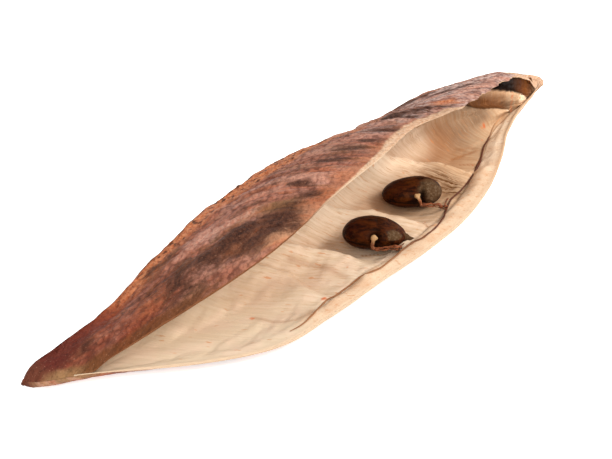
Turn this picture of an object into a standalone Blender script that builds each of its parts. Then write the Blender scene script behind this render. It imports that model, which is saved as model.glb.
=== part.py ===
"""Black locust pod: an opened dry legume with two seeds, lying on its lower valve.

Metres, +Z up. +X runs along the pod from its pointed beak to its rounded far end,
the mouth (the split ventral suture) faces -Y, and the dorsal suture is at +Y.
The pod rests at z = 0, and the origin is under the middle of its bounding box.
"""

import math

import bmesh
import bpy
import numpy as np
from mathutils import Matrix, Vector

MM = 0.001

# ---------------------------------------------------------------- dimensions
POD_LENGTH = 67.1  # mm, tip to tip
WALL = 0.48  # mm, dry valve wall
LIP = 0.30  # mm, wall at the free margins
MOUTH_START = 0.050  # share of the length where the ventral suture starts to gape
MOUTH_END = 0.968  # share of the length where it closes again
BELLY_FORE = 0.29  # where the lower valve's curve bears down, shares of its width
BELLY_AFT = 0.80
TIP_REACH = 0.006  # how far the points stand out past the end sections, share of the length
REST_FLAT = 0.07  # mm of the underside worn flat where it bears on the ground

# Offsets of the pod's lines, mm, at shares of its length.
STATION = (0.0, 0.04, 0.08, 0.13, 0.20, 0.28, 0.37, 0.47, 0.57, 0.66, 0.74, 0.82, 0.89, 0.95, 1.0)
WING_Y = (0.0, -2.3, -4.1, -7.2, -10.2, -10.8, -10.6, -10.5, -9.8, -8.2, -6.1, -3.6, -2.0, -1.0, 0.0)
WING_Z = (1.0, 1.0, 0.7, 0.7, 0.8, 1.0, 1.0, 1.0, 1.0, 1.0, 1.1, 1.2, 1.3, 1.4, 1.5)
DORSAL_Y = (0.0, 0.5, 0.8, 1.1, 1.7, 2.3, 2.7, 3.0, 2.9, 2.6, 2.2, 1.7, 1.1, 0.6, 0.1)
DORSAL_Z = (1.2, 1.9, 2.0, 2.2, 3.5, 4.5, 5.2, 5.4, 5.0, 4.9, 5.2, 4.8, 4.4, 3.3, 1.8)
RIM_Y = (0.0, -2.2, -3.5, -4.6, -5.9, -6.7, -6.6, -5.9, -4.2, -4.0, -3.5, -2.1, -1.4, -0.9, 0.0)
RIM_Z = (1.1, 1.0, 2.0, 3.1, 4.4, 5.7, 7.1, 7.5, 7.3, 6.8, 6.3, 5.4, 4.6, 3.0, 1.6)
BELLY_Z = (0.7, 0.05, 0.0, 0.0, 0.0, 0.0, 0.0, 0.0, 0.0, 0.0, 0.05, 0.05, 0.05, 0.35, 1.1)
ROOF_RISE = (0.1, 0.3, 0.4, 0.5, 0.7, 0.9, 1.0, 1.0, 0.9, 0.7, 0.6, 0.6, 0.6, 0.4, 0.1)

PLACENTA_Y = (0.0, -2.0, -3.6, -6.2, -8.6, -9.3, -8.8, -8.7, -7.8, -6.1, -4.1, -1.9, -1.0, -0.4, 0.0)

CAGE_STATIONS = 24
LOWER_STEPS = 8
UPPER_STEPS = 5

SEED_LENGTH, SEED_WIDTH, SEED_THICKNESS = 4.9, 3.2, 2.2  # mm

GAP = 0.30  # mm, between pieces that touch in the real pod

STRAND_START, STRAND_END, STRAND_STEPS = 0.27, 0.93, 44
STRAND_RADIUS, STALK_RADIUS, KNOB_RADIUS = 0.14, 0.15, 0.30  # mm

COLLECTION = "black_locust_pod"


# ------------------------------------------------------------------- helpers
def spline(values):
    """A smooth curve through the offsets of one line."""
    xs, ys = np.array(STATION), np.array(values, float)
    slopes = np.gradient(ys, xs)

    def at(x):
        x = min(max(x, xs[0]), xs[-1])
        i = min(max(int(np.searchsorted(xs, x, side="right")) - 1, 0), len(xs) - 2)
        h = xs[i + 1] - xs[i]
        t = (x - xs[i]) / h
        a = (2 * t**3 - 3 * t**2 + 1) * ys[i] + (t**3 - 2 * t**2 + t) * h * slopes[i]
        b = (-2 * t**3 + 3 * t**2) * ys[i + 1] + (t**3 - t**2) * h * slopes[i + 1]
        return float(a + b)

    return at


wing_y, wing_z = spline(WING_Y), spline(WING_Z)
dorsal_y, dorsal_z = spline(DORSAL_Y), spline(DORSAL_Z)
rim_y, rim_z = spline(RIM_Y), spline(RIM_Z)
belly_z, roof_rise = spline(BELLY_Z), spline(ROOF_RISE)
placenta_y = spline(PLACENTA_Y)


def bezier(a, b, c, d, t):
    t = np.asarray(t)[:, None]
    return (1 - t) ** 3 * a + 3 * t * (1 - t) ** 2 * b + 3 * t * t * (1 - t) * c + t**3 * d


def margins(s):
    """The two free margins at s; they are one line where the suture is closed."""
    wing = np.array([wing_y(s), wing_z(s)])
    rim = np.array([rim_y(s), rim_z(s)])
    if s <= MOUTH_START or s >= MOUTH_END:
        rim = wing.copy()
    return wing, rim


def lower_valve(s, t):
    """(y, z) on the outside of the lower valve, from the wing to the dorsal suture."""
    wing, _ = margins(s)
    dorsal = np.array([dorsal_y(s), dorsal_z(s)])
    span = dorsal[0] - wing[0]
    tt = np.linspace(0, 1, 50)
    low, high = -12.0, 8.0
    for _ in range(36):  # how low the handles hang for the belly to reach its level
        hang = (low + high) / 2
        z = wing[1] * (1 - tt) ** 3 + 3 * hang * tt * (1 - tt) + dorsal[1] * tt**3
        if z.min() > belly_z(s):
            high = hang
        else:
            low = hang
    return bezier(wing, np.array([wing[0] + BELLY_FORE * span, hang]), np.array([wing[0] + BELLY_AFT * span, hang]), dorsal, t)


def upper_valve(s, t):
    """(y, z) on the outside of the upper valve, from the dorsal suture to the rim."""
    _, rim = margins(s)
    dorsal = np.array([dorsal_y(s), dorsal_z(s)])
    way = rim - dorsal
    out = np.array([way[1], -way[0]]) / max(float(np.linalg.norm(way)), 1e-6)
    if out[1] < 0:
        out = -out
    rise = roof_rise(s)
    return bezier(dorsal, dorsal + 0.30 * way + out * rise, dorsal + 0.72 * way + out * rise * 1.1, rim, t)


def section(s):
    """The outside of the open C of one cross-section, wing to rim."""
    a = lower_valve(s, np.linspace(0, 1, LOWER_STEPS + 1))
    b = upper_valve(s, np.linspace(0, 1, UPPER_STEPS + 1))
    return np.vstack([a, b[1:]])


def inset(curve, s):
    """The same C moved inwards by the wall, thinner at the free margins and towards the ends."""
    n = len(curve)
    out = np.empty_like(curve)
    ends = min(1.0, 0.35 + 4.5 * min(s - MOUTH_START, MOUTH_END - s))
    for j in range(n):
        before = curve[j] - curve[max(j - 1, 0)]
        after = curve[min(j + 1, n - 1)] - curve[j]
        if j == 0:
            before = after
        if j == n - 1:
            after = before
        before, after = before / np.linalg.norm(before), after / np.linalg.norm(after)
        way = before + after
        way /= np.linalg.norm(way)
        turn = max(float(np.dot(way, before)), 0.62)
        normal = np.array([-way[1], way[0]])  # left of the way round: inside the C
        edge = min(j, n - 1 - j)
        wall = (LIP if edge == 0 else WALL) * ends
        out[j] = curve[j] + normal * wall / turn
    return out


def grid_stations():
    """Shares of the length, closer together towards both ends."""
    inner = []
    for k in range(CAGE_STATIONS + 1):
        u = k / CAGE_STATIONS
        share = 0.4 * u + 0.6 * (0.5 - 0.5 * math.cos(math.pi * u))
        inner.append(MOUTH_START + (MOUTH_END - MOUTH_START) * share)
    return [0.008, 0.026] + inner + [0.990]


def pod_shell():
    """Outer skin and inner skin, joined along the two free margins of the mouth."""
    stations = grid_stations()
    first, last = 2, len(stations) - 2  # the corners of the mouth
    bm = bmesh.new()

    def vertex(s, p):
        return bm.verts.new((s * POD_LENGTH * MM, p[0] * MM, p[1] * MM))

    outer, inner = [], []
    for i, s in enumerate(stations):
        curve = section(s)
        row = [vertex(s, p) for p in curve[:-1]]
        if i <= first or i >= last:
            row.append(row[0])  # one seam where the suture is closed
        else:
            row.append(vertex(s, curve[-1]))
        outer.append(row)
        if first < i < last:
            inner.append([vertex(s, p) for p in inset(curve, s)])
        else:
            inner.append(None)
    n = len(outer[0])

    def face(*corners):
        corners = [v for k, v in enumerate(corners) if v is not corners[k - 1]]
        if len(corners) > 2:
            bm.faces.new(corners)

    for a, b in zip(outer, outer[1:]):
        for j in range(n - 1):
            face(a[j], a[j + 1], b[j + 1], b[j])
    for i in range(first + 1, last - 1):
        a, b = inner[i], inner[i + 1]
        for j in range(n - 1):
            face(a[j], b[j], b[j + 1], a[j + 1])
        face(outer[i][0], outer[i + 1][0], inner[i + 1][0], inner[i][0])
        face(outer[i][-1], inner[i][-1], inner[i + 1][-1], outer[i + 1][-1])
    # the corners of the mouth, where the cavity runs out to a point inside the seam
    for i, near, flip in ((first, first + 1, False), (last, last - 1, True)):
        s = stations[i]
        seam = outer[i][0]
        middle = section(s).mean(axis=0)
        wing, _ = margins(s)
        root = vertex(s, wing + (middle - wing) * 0.35)
        row = inner[near]
        fans = [(root, row[j], row[j + 1]) for j in range(n - 1)]
        fans.append((seam, outer[near][0], row[0]))
        fans.append((seam, row[0], root))
        fans.append((root, row[-1], seam))
        fans.append((seam, row[-1], outer[near][-1]))
        for tri in fans:
            face(*(tri[::-1] if flip else tri))
    # the two tips
    for row, s, flip in ((outer[0], 0.0, False), (outer[-1], 1.0, True)):
        wing, _ = margins(s)
        reach = TIP_REACH if flip else -TIP_REACH
        tip = vertex(s + reach, (wing + np.array([dorsal_y(s), dorsal_z(s)])) / 2)
        for j in range(n - 1):
            tri = (tip, row[j + 1], row[j])
            face(*(tri[::-1] if flip else tri))
    bmesh.ops.recalc_face_normals(bm, faces=bm.faces)
    mesh = bpy.data.meshes.new("pod_shell")
    bm.to_mesh(mesh)
    bm.free()
    obj = bpy.data.objects.new("pod_shell_cage", mesh)
    collection.objects.link(obj)
    sub = obj.modifiers.new("Subdivision", "SUBSURF")
    sub.levels = sub.render_levels = 1
    bpy.context.view_layer.update()
    fine = bpy.data.meshes.new_from_object(obj.evaluated_get(bpy.context.evaluated_depsgraph_get()))
    bpy.data.objects.remove(obj)
    floor = min(v.co.z for v in fine.vertices)
    for v in fine.vertices:  # worn flat along the line it rests on
        v.co.z = max(v.co.z - floor - REST_FLAT * MM, 0.0)
    return fine, -floor - REST_FLAT * MM


def valve_height(x, y):
    """How high the inside of the lower valve lies at (x, y)."""
    ts = np.linspace(0.0, 0.9, 91)
    curve = lower_valve(x / POD_LENGTH, ts)
    return float(np.interp(y, curve[:, 0], curve[:, 1])) + WALL


def over_valve(x, y, above):
    """A point some mm over the inside of the lower valve, and the normal there."""
    d = 0.6
    along = np.array([2 * d, 0.0, valve_height(x + d, y) - valve_height(x - d, y)])
    across = np.array([0.0, 2 * d, valve_height(x, y + d) - valve_height(x, y - d)])
    normal = np.cross(along, across)
    normal /= np.linalg.norm(normal)
    return np.array([x, y, valve_height(x, y)]) + normal * above, normal


def seed(name, place, normal, heading):
    """A bean: a sphere flattened, bent to a kidney and notched at its hilum, lying on one side."""
    bm = bmesh.new()
    bmesh.ops.create_uvsphere(bm, u_segments=24, v_segments=14, radius=1.0, matrix=Matrix.Rotation(math.pi / 2, 4, "Y"))
    for v in bm.verts:
        x, y, z = v.co
        # a hilum notch in the -y side, a fuller back, and one end a little narrower
        y -= -0.16 * math.exp(-((x + 0.05) / 0.30) ** 2) * max(0.0, -y)
        y -= 0.12 * (1 - x * x) * -1.0 - 0.10
        narrow = 1.0 - 0.10 * x
        v.co = (x * SEED_LENGTH / 2, y * narrow * SEED_WIDTH / 2, z * narrow * SEED_THICKNESS / 2)
    bmesh.ops.scale(bm, vec=(MM, MM, MM), verts=bm.verts)
    mesh = bpy.data.meshes.new(name)
    bm.to_mesh(mesh)
    bm.free()
    obj = bpy.data.objects.new(name, mesh)
    collection.objects.link(obj)
    up = Vector(normal).normalized()
    along = Vector((math.cos(heading), math.sin(heading), 0.0))
    along = (along - up * along.dot(up)).normalized()
    side = up.cross(along)
    turn = Matrix((along, side, up)).transposed().to_4x4()
    obj.matrix_world = Matrix.Translation(Vector(place) * MM + shift) @ turn
    return obj


def stalk(name, points, radii, material):
    """A short bent tube with closed ends."""
    curve = bpy.data.curves.new(name, "CURVE")
    curve.dimensions = "3D"
    curve.bevel_depth = 1.0 * MM
    curve.bevel_resolution = 2
    curve.use_fill_caps = True
    line = curve.splines.new("POLY")
    line.points.add(len(points) - 1)
    for p, point, r in zip(line.points, points, radii):
        p.co = (point[0] * MM, point[1] * MM, point[2] * MM, 1.0)
        p.radius = r
    obj = bpy.data.objects.new(name, curve)
    collection.objects.link(obj)
    obj.location = shift
    curve.materials.append(material)
    return obj


def smooth_path(corners, steps):
    """Points along a smooth curve through a few corners."""
    p = [np.array(c, float) for c in corners]
    p = [2 * p[0] - p[1], *p, 2 * p[-1] - p[-2]]
    out = []
    for a, b, c, d in zip(p, p[1:], p[2:], p[3:]):
        for k in range(steps):
            t = k / steps
            out.append(0.5 * (2 * b + (c - a) * t + (2 * a - 5 * b + 4 * c - d) * t * t + (3 * b - a - 3 * c + d) * t**3))
    out.append(p[-2])
    return out


def material(name, colour, roughness):
    mat = bpy.data.materials.new(name)
    mat.use_nodes = True
    shader = mat.node_tree.nodes["Principled BSDF"]
    shader.inputs["Base Color"].default_value = (*colour, 1.0)
    shader.inputs["Roughness"].default_value = roughness
    shader.inputs["Metallic"].default_value = 0.0
    return mat


# ---------------------------------------------------------------- the object
for old in list(bpy.data.objects):
    bpy.data.objects.remove(old)
collection = bpy.data.collections.new(COLLECTION)
bpy.context.scene.collection.children.link(collection)

husk = material("pod_wall", (0.42, 0.17, 0.10), 0.62)
seed_coat = material("seed_coat", (0.035, 0.014, 0.008), 0.38)
stalk_skin = material("seed_stalk", (0.45, 0.24, 0.12), 0.60)

shell_mesh, lift = pod_shell()
corners = np.array([v.co for v in shell_mesh.vertices])
low, high = corners.min(axis=0), corners.max(axis=0)
centre = (low + high) / 2
for v in shell_mesh.vertices:
    v.co.x -= centre[0]
    v.co.y -= centre[1]
shift = Vector((-centre[0], -centre[1], lift))
shell_mesh.materials.clear()
shell_mesh.materials.append(husk)
for polygon in shell_mesh.polygons:
    polygon.use_smooth = True
shell = bpy.data.objects.new("pod_shell", shell_mesh)
collection.objects.link(shell)

SEEDS = (
    # name, x and y of its middle in mm from the beak, heading of its long axis
    ("seed_near", 29.9, -6.6, -61.0),
    ("seed_far", 37.8, -4.7, -46.0),
)
for name, x, y, heading in SEEDS:
    place, normal = over_valve(x, y, GAP + SEED_THICKNESS / 2)
    bean = seed(name, place, normal, math.radians(heading))
    bean.data.materials.append(seed_coat)
    for polygon in bean.data.polygons:
        polygon.use_smooth = True

# the strand that feeds the seeds runs inside the wing of the lower valve
strand = []
for k in range(STRAND_STEPS + 1):
    s = STRAND_START + (STRAND_END - STRAND_START) * k / STRAND_STEPS
    x, y = s * POD_LENGTH, placenta_y(s) - 0.25
    strand.append((x, y, valve_height(x, y) + GAP + STRAND_RADIUS))
stalk("placental_strand", strand, [STRAND_RADIUS] * len(strand), stalk_skin)

# each stalk comes off the strand, lies beside its seed and ends in a knob at the hilum
STALKS = (
    ("funicle_near", ((27.75, -7.95, 2.10), (28.0, -8.25, 1.60), (28.5, -8.45, 1.45), (29.0, -8.50, 1.42))),
    ("funicle_far", ((35.75, -6.30, 2.10), (36.0, -6.75, 1.60), (36.7, -7.10, 1.42), (37.4, -7.35, 1.40))),
)
for name, corners in STALKS:
    path = smooth_path(corners, 4)
    radii = [KNOB_RADIUS + (STALK_RADIUS - KNOB_RADIUS) * min(1.0, k / 4) for k in range(len(path))]
    stalk(name, path, radii, stalk_skin)
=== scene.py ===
"""Black locust pod, detailed: a dry, split legume lying on its lower valve, with two seeds.

Lengths are in millimetres in the pod's own frame and become metres when a mesh is made:
x runs from the beak to the far end, the mouth faces -y, and z is up.
"""

import math

import bpy
import numpy as np
from mathutils import Matrix, Vector
from mathutils.bvhtree import BVHTree

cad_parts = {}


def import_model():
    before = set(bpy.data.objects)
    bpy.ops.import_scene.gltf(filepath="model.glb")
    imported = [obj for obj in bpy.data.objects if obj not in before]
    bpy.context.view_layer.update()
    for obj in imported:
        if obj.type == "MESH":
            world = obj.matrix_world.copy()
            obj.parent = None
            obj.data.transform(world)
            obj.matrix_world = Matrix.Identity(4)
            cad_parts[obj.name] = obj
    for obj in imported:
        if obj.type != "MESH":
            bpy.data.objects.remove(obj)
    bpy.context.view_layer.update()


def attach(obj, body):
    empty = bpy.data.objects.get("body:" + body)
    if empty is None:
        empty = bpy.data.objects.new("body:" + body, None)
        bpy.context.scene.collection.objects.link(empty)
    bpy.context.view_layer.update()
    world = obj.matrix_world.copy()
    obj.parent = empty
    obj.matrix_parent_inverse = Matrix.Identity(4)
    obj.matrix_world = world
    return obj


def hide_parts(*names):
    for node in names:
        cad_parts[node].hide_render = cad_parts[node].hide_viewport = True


MM = 0.001
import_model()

# ------------------------------------------------------------- the pod's lines
POD_LENGTH = 67.1
SHIFT = np.array([-33.53261, 4.0591, -0.09325])  # pod frame to world, mm
WALL, LIP, RIM_LIP_NEAR, RIM_LIP_FAR = 0.46, 0.24, 0.20, 0.11
MOUTH_START, MOUTH_END = 0.036, 0.972
BELLY_FORE, BELLY_AFT = 0.29, 0.80

STATION = (0.0, 0.04, 0.08, 0.13, 0.20, 0.28, 0.37, 0.47, 0.57, 0.66, 0.74, 0.82, 0.89, 0.95, 1.0)
WING_Y = (0.0, -2.3, -4.1, -7.2, -10.2, -10.8, -10.6, -10.5, -9.8, -8.2, -6.1, -3.6, -2.0, -1.0, 0.0)
WING_Z = (1.0, 1.0, 0.7, 0.7, 0.8, 1.0, 1.0, 1.0, 1.0, 1.0, 1.1, 1.2, 1.3, 1.4, 1.5)
DORSAL_Y = (0.0, 0.5, 0.8, 1.1, 1.7, 2.3, 2.7, 3.0, 2.9, 2.6, 2.2, 1.7, 1.1, 0.6, 0.1)
DORSAL_Z = (1.2, 1.9, 2.0, 2.2, 3.5, 4.5, 5.2, 5.4, 5.0, 4.9, 5.2, 4.8, 4.4, 3.3, 1.8)
RIM_Y = (0.0, -2.2, -3.5, -4.6, -5.9, -6.7, -6.6, -5.9, -4.2, -4.0, -3.5, -2.1, -1.4, -0.9, 0.0)
RIM_Z = (1.1, 1.0, 2.0, 3.1, 4.4, 5.7, 7.1, 7.5, 7.3, 6.8, 6.3, 5.4, 4.6, 3.0, 1.6)
BELLY_Z = (0.7, 0.05, 0.0, 0.0, 0.0, 0.0, 0.0, 0.0, 0.0, 0.0, 0.05, 0.05, 0.05, 0.35, 1.1)
ROOF_RISE = (0.1, 0.3, 0.4, 0.5, 0.7, 0.9, 1.0, 1.0, 0.9, 0.7, 0.6, 0.6, 0.6, 0.4, 0.1)
PLACENTA_Y = (0.0, -2.0, -3.6, -6.2, -8.6, -9.3, -8.8, -8.7, -7.8, -6.1, -4.1, -1.9, -1.0, -0.4, 0.0)

STATIONS, LOWER, UPPER = 380, 64, 44  # cells along the pod and round its two valves


def curve_through(values):
    xs, ys = np.array(STATION), np.array(values, float)
    slopes = np.gradient(ys, xs)

    def at(x):
        x = np.clip(np.asarray(x, float), xs[0], xs[-1])
        i = np.clip(np.searchsorted(xs, x, side="right") - 1, 0, len(xs) - 2)
        h = xs[i + 1] - xs[i]
        t = (x - xs[i]) / h
        return (
            (2 * t**3 - 3 * t**2 + 1) * ys[i] + (t**3 - 2 * t**2 + t) * h * slopes[i]
            + (-2 * t**3 + 3 * t**2) * ys[i + 1] + (t**3 - t**2) * h * slopes[i + 1]
        )

    return at


wing_y, wing_z = curve_through(WING_Y), curve_through(WING_Z)
dorsal_y, dorsal_z = curve_through(DORSAL_Y), curve_through(DORSAL_Z)
rim_y, rim_z = curve_through(RIM_Y), curve_through(RIM_Z)
belly_z, roof_rise = curve_through(BELLY_Z), curve_through(ROOF_RISE)
placenta_y = curve_through(PLACENTA_Y)


def smooth(x, a=0.0, b=1.0):
    """0 below a, 1 above b, smooth between; a may be above b."""
    t = np.clip((np.asarray(x, float) - a) / (b - a), 0.0, 1.0)
    return t * t * (3 - 2 * t)


def bump(x, middle, half):
    """A soft bump of height 1."""
    return np.exp(-(((np.asarray(x, float) - middle) / half) ** 2))


# ------------------------------------------------------------------ 3-D noise
def lattice(ix, iy, iz, seed):
    h = (ix.astype(np.int64) * 374761393 + iy.astype(np.int64) * 668265263 + iz.astype(np.int64) * 2147483647 + seed * 1274126177) & 0xFFFFFFFF
    h = ((h ^ (h >> 13)) * 1274126177) & 0xFFFFFFFF
    h = ((h ^ (h >> 16)) * 2246822519) & 0xFFFFFFFF
    h = h ^ (h >> 15)
    return (h & 0xFFFFFF) / float(0xFFFFFF) * 2.0 - 1.0


def noise(x, y, z=0.0, seed=0):
    x, y, z = np.broadcast_arrays(np.asarray(x, float), np.asarray(y, float), np.asarray(z, float))
    fx, fy, fz = np.floor(x), np.floor(y), np.floor(z)
    tx, ty, tz = x - fx, y - fy, z - fz
    ux, uy, uz = tx**3 * (tx * (tx * 6 - 15) + 10), ty**3 * (ty * (ty * 6 - 15) + 10), tz**3 * (tz * (tz * 6 - 15) + 10)
    total = 0.0
    for dx in (0, 1):
        for dy in (0, 1):
            for dz in (0, 1):
                w = (ux if dx else 1 - ux) * (uy if dy else 1 - uy) * (uz if dz else 1 - uz)
                total = total + w * lattice(fx + dx, fy + dy, fz + dz, seed)
    return total


def fbm(x, y, z=0.0, octaves=4, seed=0, gain=0.5):
    total, amount, size = 0.0, 1.0, 0.0
    for k in range(octaves):
        total = total + amount * noise(np.asarray(x) * 2**k + 17.3 * k, np.asarray(y) * 2**k - 9.1 * k, np.asarray(z) * 2**k, seed + k)
        size += amount
        amount *= gain
    return total / size


# -------------------------------------------------------------- cross-sections
def margins(s):
    wing = np.array([wing_y(s), wing_z(s)], float)
    rim = np.array([rim_y(s), rim_z(s)], float)
    gape = float(smooth(s, MOUTH_START, MOUTH_START + 0.032) * smooth(s, MOUTH_END, MOUTH_END - 0.022))
    return wing, wing + (rim - wing) * gape


def bezier(a, b, c, d, t):
    t = np.asarray(t, float)[:, None]
    return (1 - t) ** 3 * a + 3 * t * (1 - t) ** 2 * b + 3 * t * t * (1 - t) * c + t**3 * d


HANG = {}


def lower_valve(s, t):
    wing, _ = margins(s)
    dorsal = np.array([dorsal_y(s), dorsal_z(s)], float)
    span = dorsal[0] - wing[0]
    key = round(float(s), 7)
    if key not in HANG:
        tt = np.linspace(0, 1, 50)
        low, high = -12.0, 8.0
        for _ in range(36):
            hang = (low + high) / 2
            z = wing[1] * (1 - tt) ** 3 + 3 * hang * tt * (1 - tt) + dorsal[1] * tt**3
            if z.min() > belly_z(s):
                high = hang
            else:
                low = hang
        HANG[key] = hang
    hang = HANG[key]
    return bezier(wing, np.array([wing[0] + BELLY_FORE * span, hang]), np.array([wing[0] + BELLY_AFT * span, hang]), dorsal, t)


def upper_valve(s, t):
    _, rim = margins(s)
    dorsal = np.array([dorsal_y(s), dorsal_z(s)], float)
    way = rim - dorsal
    out = np.array([way[1], -way[0]]) / max(float(np.linalg.norm(way)), 1e-6)
    if out[1] < 0:
        out = -out
    rise = float(roof_rise(s))
    return bezier(dorsal, dorsal + 0.30 * way + out * rise, dorsal + 0.72 * way + out * rise * 1.1, rim, t)


def offset(curve, wall):
    """A polyline moved to its left, which is inside the C."""
    d = np.gradient(curve, axis=0)
    d /= np.maximum(np.linalg.norm(d, axis=1, keepdims=True), 1e-9)
    return curve + np.column_stack([-d[:, 1], d[:, 0]]) * wall[:, None]


def crossing(a, b):
    """Where polyline a first meets polyline b, as two shares of their lengths in steps."""
    p, r = a[:-1], np.diff(a, axis=0)
    q, s = b[:-1], np.diff(b, axis=0)
    cross = r[:, None, 0] * s[None, :, 1] - r[:, None, 1] * s[None, :, 0]
    d = q[None] - p[:, None]
    with np.errstate(divide="ignore", invalid="ignore"):
        t = (d[..., 0] * s[None, :, 1] - d[..., 1] * s[None, :, 0]) / cross
        u = (d[..., 0] * r[:, None, 1] - d[..., 1] * r[:, None, 0]) / cross
    hit = (t >= 0) & (t <= 1) & (u >= 0) & (u <= 1)
    if not hit.any():
        return None
    i, j = np.argwhere(hit)[-1]
    return (i + t[i, j]) / len(p), (j + u[i, j]) / len(q)


def inner_curves(s, t_low, t_up):
    """The inside of both valves at s, meeting in the crease under the dorsal suture."""
    ends = float(np.clip(0.30 + 9.0 * min(s - MOUTH_START, MOUTH_END - s), 0.30, 1.0))
    fine = np.linspace(0, 1, 61)
    wall_low = (LIP + (WALL - LIP) * smooth(fine, 0.0, 0.12)) * ends
    edge = RIM_LIP_NEAR + (RIM_LIP_FAR - RIM_LIP_NEAR) * float(smooth(s, 0.62, 0.70))
    wall_up = (edge + (WALL - edge) * smooth(fine, 1.0, 0.80)) * ends
    low = offset(lower_valve(s, fine), wall_low)
    up = offset(upper_valve(s, fine), wall_up)
    met = crossing(low, up)
    if met is None:
        tl, tu = 0.97, 0.03
    else:
        tl, tu = met

    def along(curve, share):
        share = np.clip(share, 0, 1) * (len(curve) - 1)
        i = np.clip(share.astype(int), 0, len(curve) - 2)
        f = (share - i)[:, None]
        return curve[i] * (1 - f) + curve[i + 1] * f

    a, b = along(low, t_low * tl), along(up, tu + t_up * (1 - tu))
    corner = (a[-1] + b[0]) / 2
    a[-1] = corner
    b[0] = corner
    return a, b


# ------------------------------------------------------ camera of the picture
CAMERA_AT = np.array([-57.723, -66.778, 54.047])  # pod frame, mm
TURN, TILT = math.radians(52.758), math.radians(26.0)
LENS, SENSOR = 91.7647, 36.0
PICTURE_W, PICTURE_H = 612, 459
FOCAL = LENS / SENSOR * PICTURE_W
cam_right = np.array([math.cos(TURN), -math.sin(TURN), 0.0])
cam_ahead = np.array([math.sin(TURN) * math.cos(TILT), math.cos(TURN) * math.cos(TILT), -math.sin(TILT)])
cam_up = np.cross(cam_right, cam_ahead)


def sight(px, py):
    """The direction seen at a place in the picture."""
    d = cam_ahead + (px - PICTURE_W / 2) / FOCAL * cam_right + (PICTURE_H / 2 - py) / FOCAL * cam_up
    return d / np.linalg.norm(d)


# ------------------------------------------------------------ the valves' form
# Crests between the seed chambers: points (x, girth from the suture), from the hinge to the wing, and a rise.
CRESTS = (
    (((10.4, 1.5), (11.4, 6.0), (11.8, 10.0)), 0.10),
    (((14.2, 2.0), (15.0, 6.0), (15.6, 10.0), (17.5, 13.0)), 0.10),
    (((19.2, 2.0), (20.5, 5.8), (21.3, 7.1), (21.8, 8.6), (21.5, 9.5), (21.1, 10.4), (20.9, 11.8), (20.7, 13.0)), 0.48),
    (((21.8, 2.0), (23.7, 5.55), (24.8, 6.8), (26.2, 9.1), (26.8, 10.5), (26.9, 12.0), (26.6, 13.3), (25.8, 14.5)), 0.62),
    (((28.8, 2.0), (30.6, 5.5), (31.2, 6.3), (32.3, 7.5), (33.5, 8.6), (34.3, 10.7), (34.5, 11.9), (34.9, 12.7), (34.6, 14.5)), 0.88),
    (((39.2, 1.5), (40.7, 4.1), (41.9, 4.9), (42.7, 6.1), (43.9, 7.0), (45.1, 8.4), (45.9, 9.5), (46.6, 10.2), (47.0, 11.5)), 1.05),
    (((51.6, 1.4), (54.0, 2.7), (55.2, 2.95), (56.5, 3.15), (57.5, 3.5), (58.5, 3.9), (59.3, 4.6), (59.8, 5.6)), 0.95),
    (((56.6, 0.8), (58.0, 1.3), (59.2, 1.56), (60.8, 1.77), (61.7, 2.1), (62.7, 2.3), (63.4, 3.2)), 0.60),
)


def crest_x(points, g):
    p = np.array(points)
    return np.interp(g, p[:, 1], p[:, 0])


def chamber_relief(x, g):
    """How far the inside stands up between chambers, 0 on the chamber floors."""
    lines = [crest_x(p, g) for p, _ in CRESTS]
    steep = [np.hypot(1.0, (crest_x(p, g + 0.3) - crest_x(p, g - 0.3)) / 0.6) for p, _ in CRESTS]
    rises = [a for _, a in CRESTS]
    total = np.zeros_like(x)
    n = len(lines)
    for k in range(n + 1):
        left = lines[k - 1] if k > 0 else np.full_like(x, 2.0)
        right = lines[k] if k < n else np.full_like(x, 67.0)
        a = rises[k - 1] if k > 0 else 0.0
        b = rises[k] if k < n else 0.0
        lean = steep[k - 1] if k > 0 else 1.0
        inside = (x >= left) & (x < right)
        u = (x - left)
        span = np.maximum(right - left, 0.5)
        fall = a * (1 - smooth(u, 0.0, np.minimum(1.2 * lean, 0.5 * span)))
        climb = b * smooth(u / span, 0.20, 1.0) ** 1.15
        total = np.where(inside, fall + climb, total)
    return total


def chamber_depth(x, g):
    """1 on the floors of the deep chambers, 0 on the crests and where the chambers are faint."""
    lines = [crest_x(p, g) for p, _ in CRESTS]
    deep = [min(a / 0.8, 1.0) for _, a in CRESTS]
    total = np.zeros_like(x)
    for k in range(len(lines) + 1):
        left = lines[k - 1] if k > 0 else np.full_like(x, 2.0)
        right = lines[k] if k < len(lines) else np.full_like(x, 67.0)
        a = deep[k - 1] if k > 0 else 0.0
        b = deep[k] if k < len(lines) else 0.8
        u = (x - left) / np.maximum(right - left, 0.5)
        inside = (x >= left) & (x < right)
        total = np.where(inside, (a + (b - a) * u) * smooth(u, 0.0, 0.16) * (1 - smooth(u, 0.35, 1.0)), total)
    return total


def lower_inside_relief(x, y, g, line_g):
    """Rise of the lower valve's inside, mm: crests, chambers, the wing's band and its groove."""
    s = x / POD_LENGTH
    line = placenta_y(s)
    edge = wing_y(s)
    window = smooth(line_g - g, -0.1, np.minimum(3.0, 0.34 * line_g)) ** 0.9 * smooth(g, 0.2, np.minimum(2.2, 0.30 * line_g))
    relief = chamber_relief(x, g) * window
    fade = smooth(x, 15.5, 22.0) * smooth(x, 64.5, 61.0)
    groove = (-0.15 + 0.11 * smooth(x, 46.0, 52.0)) * bump(y - line, 0.0, 0.16) * fade
    share = np.clip((line - y) / np.maximum(line - edge, 0.3), 0, 1)
    band = (0.24 - 0.17 * smooth(x, 44.0, 53.0)) * np.sin(np.pi * share**0.8) * smooth(x, 9.0, 24.0) * smooth(x, 66.0, 60.0) * np.minimum(1.0, (line - edge) / 1.3)
    return relief + groove + band


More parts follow.
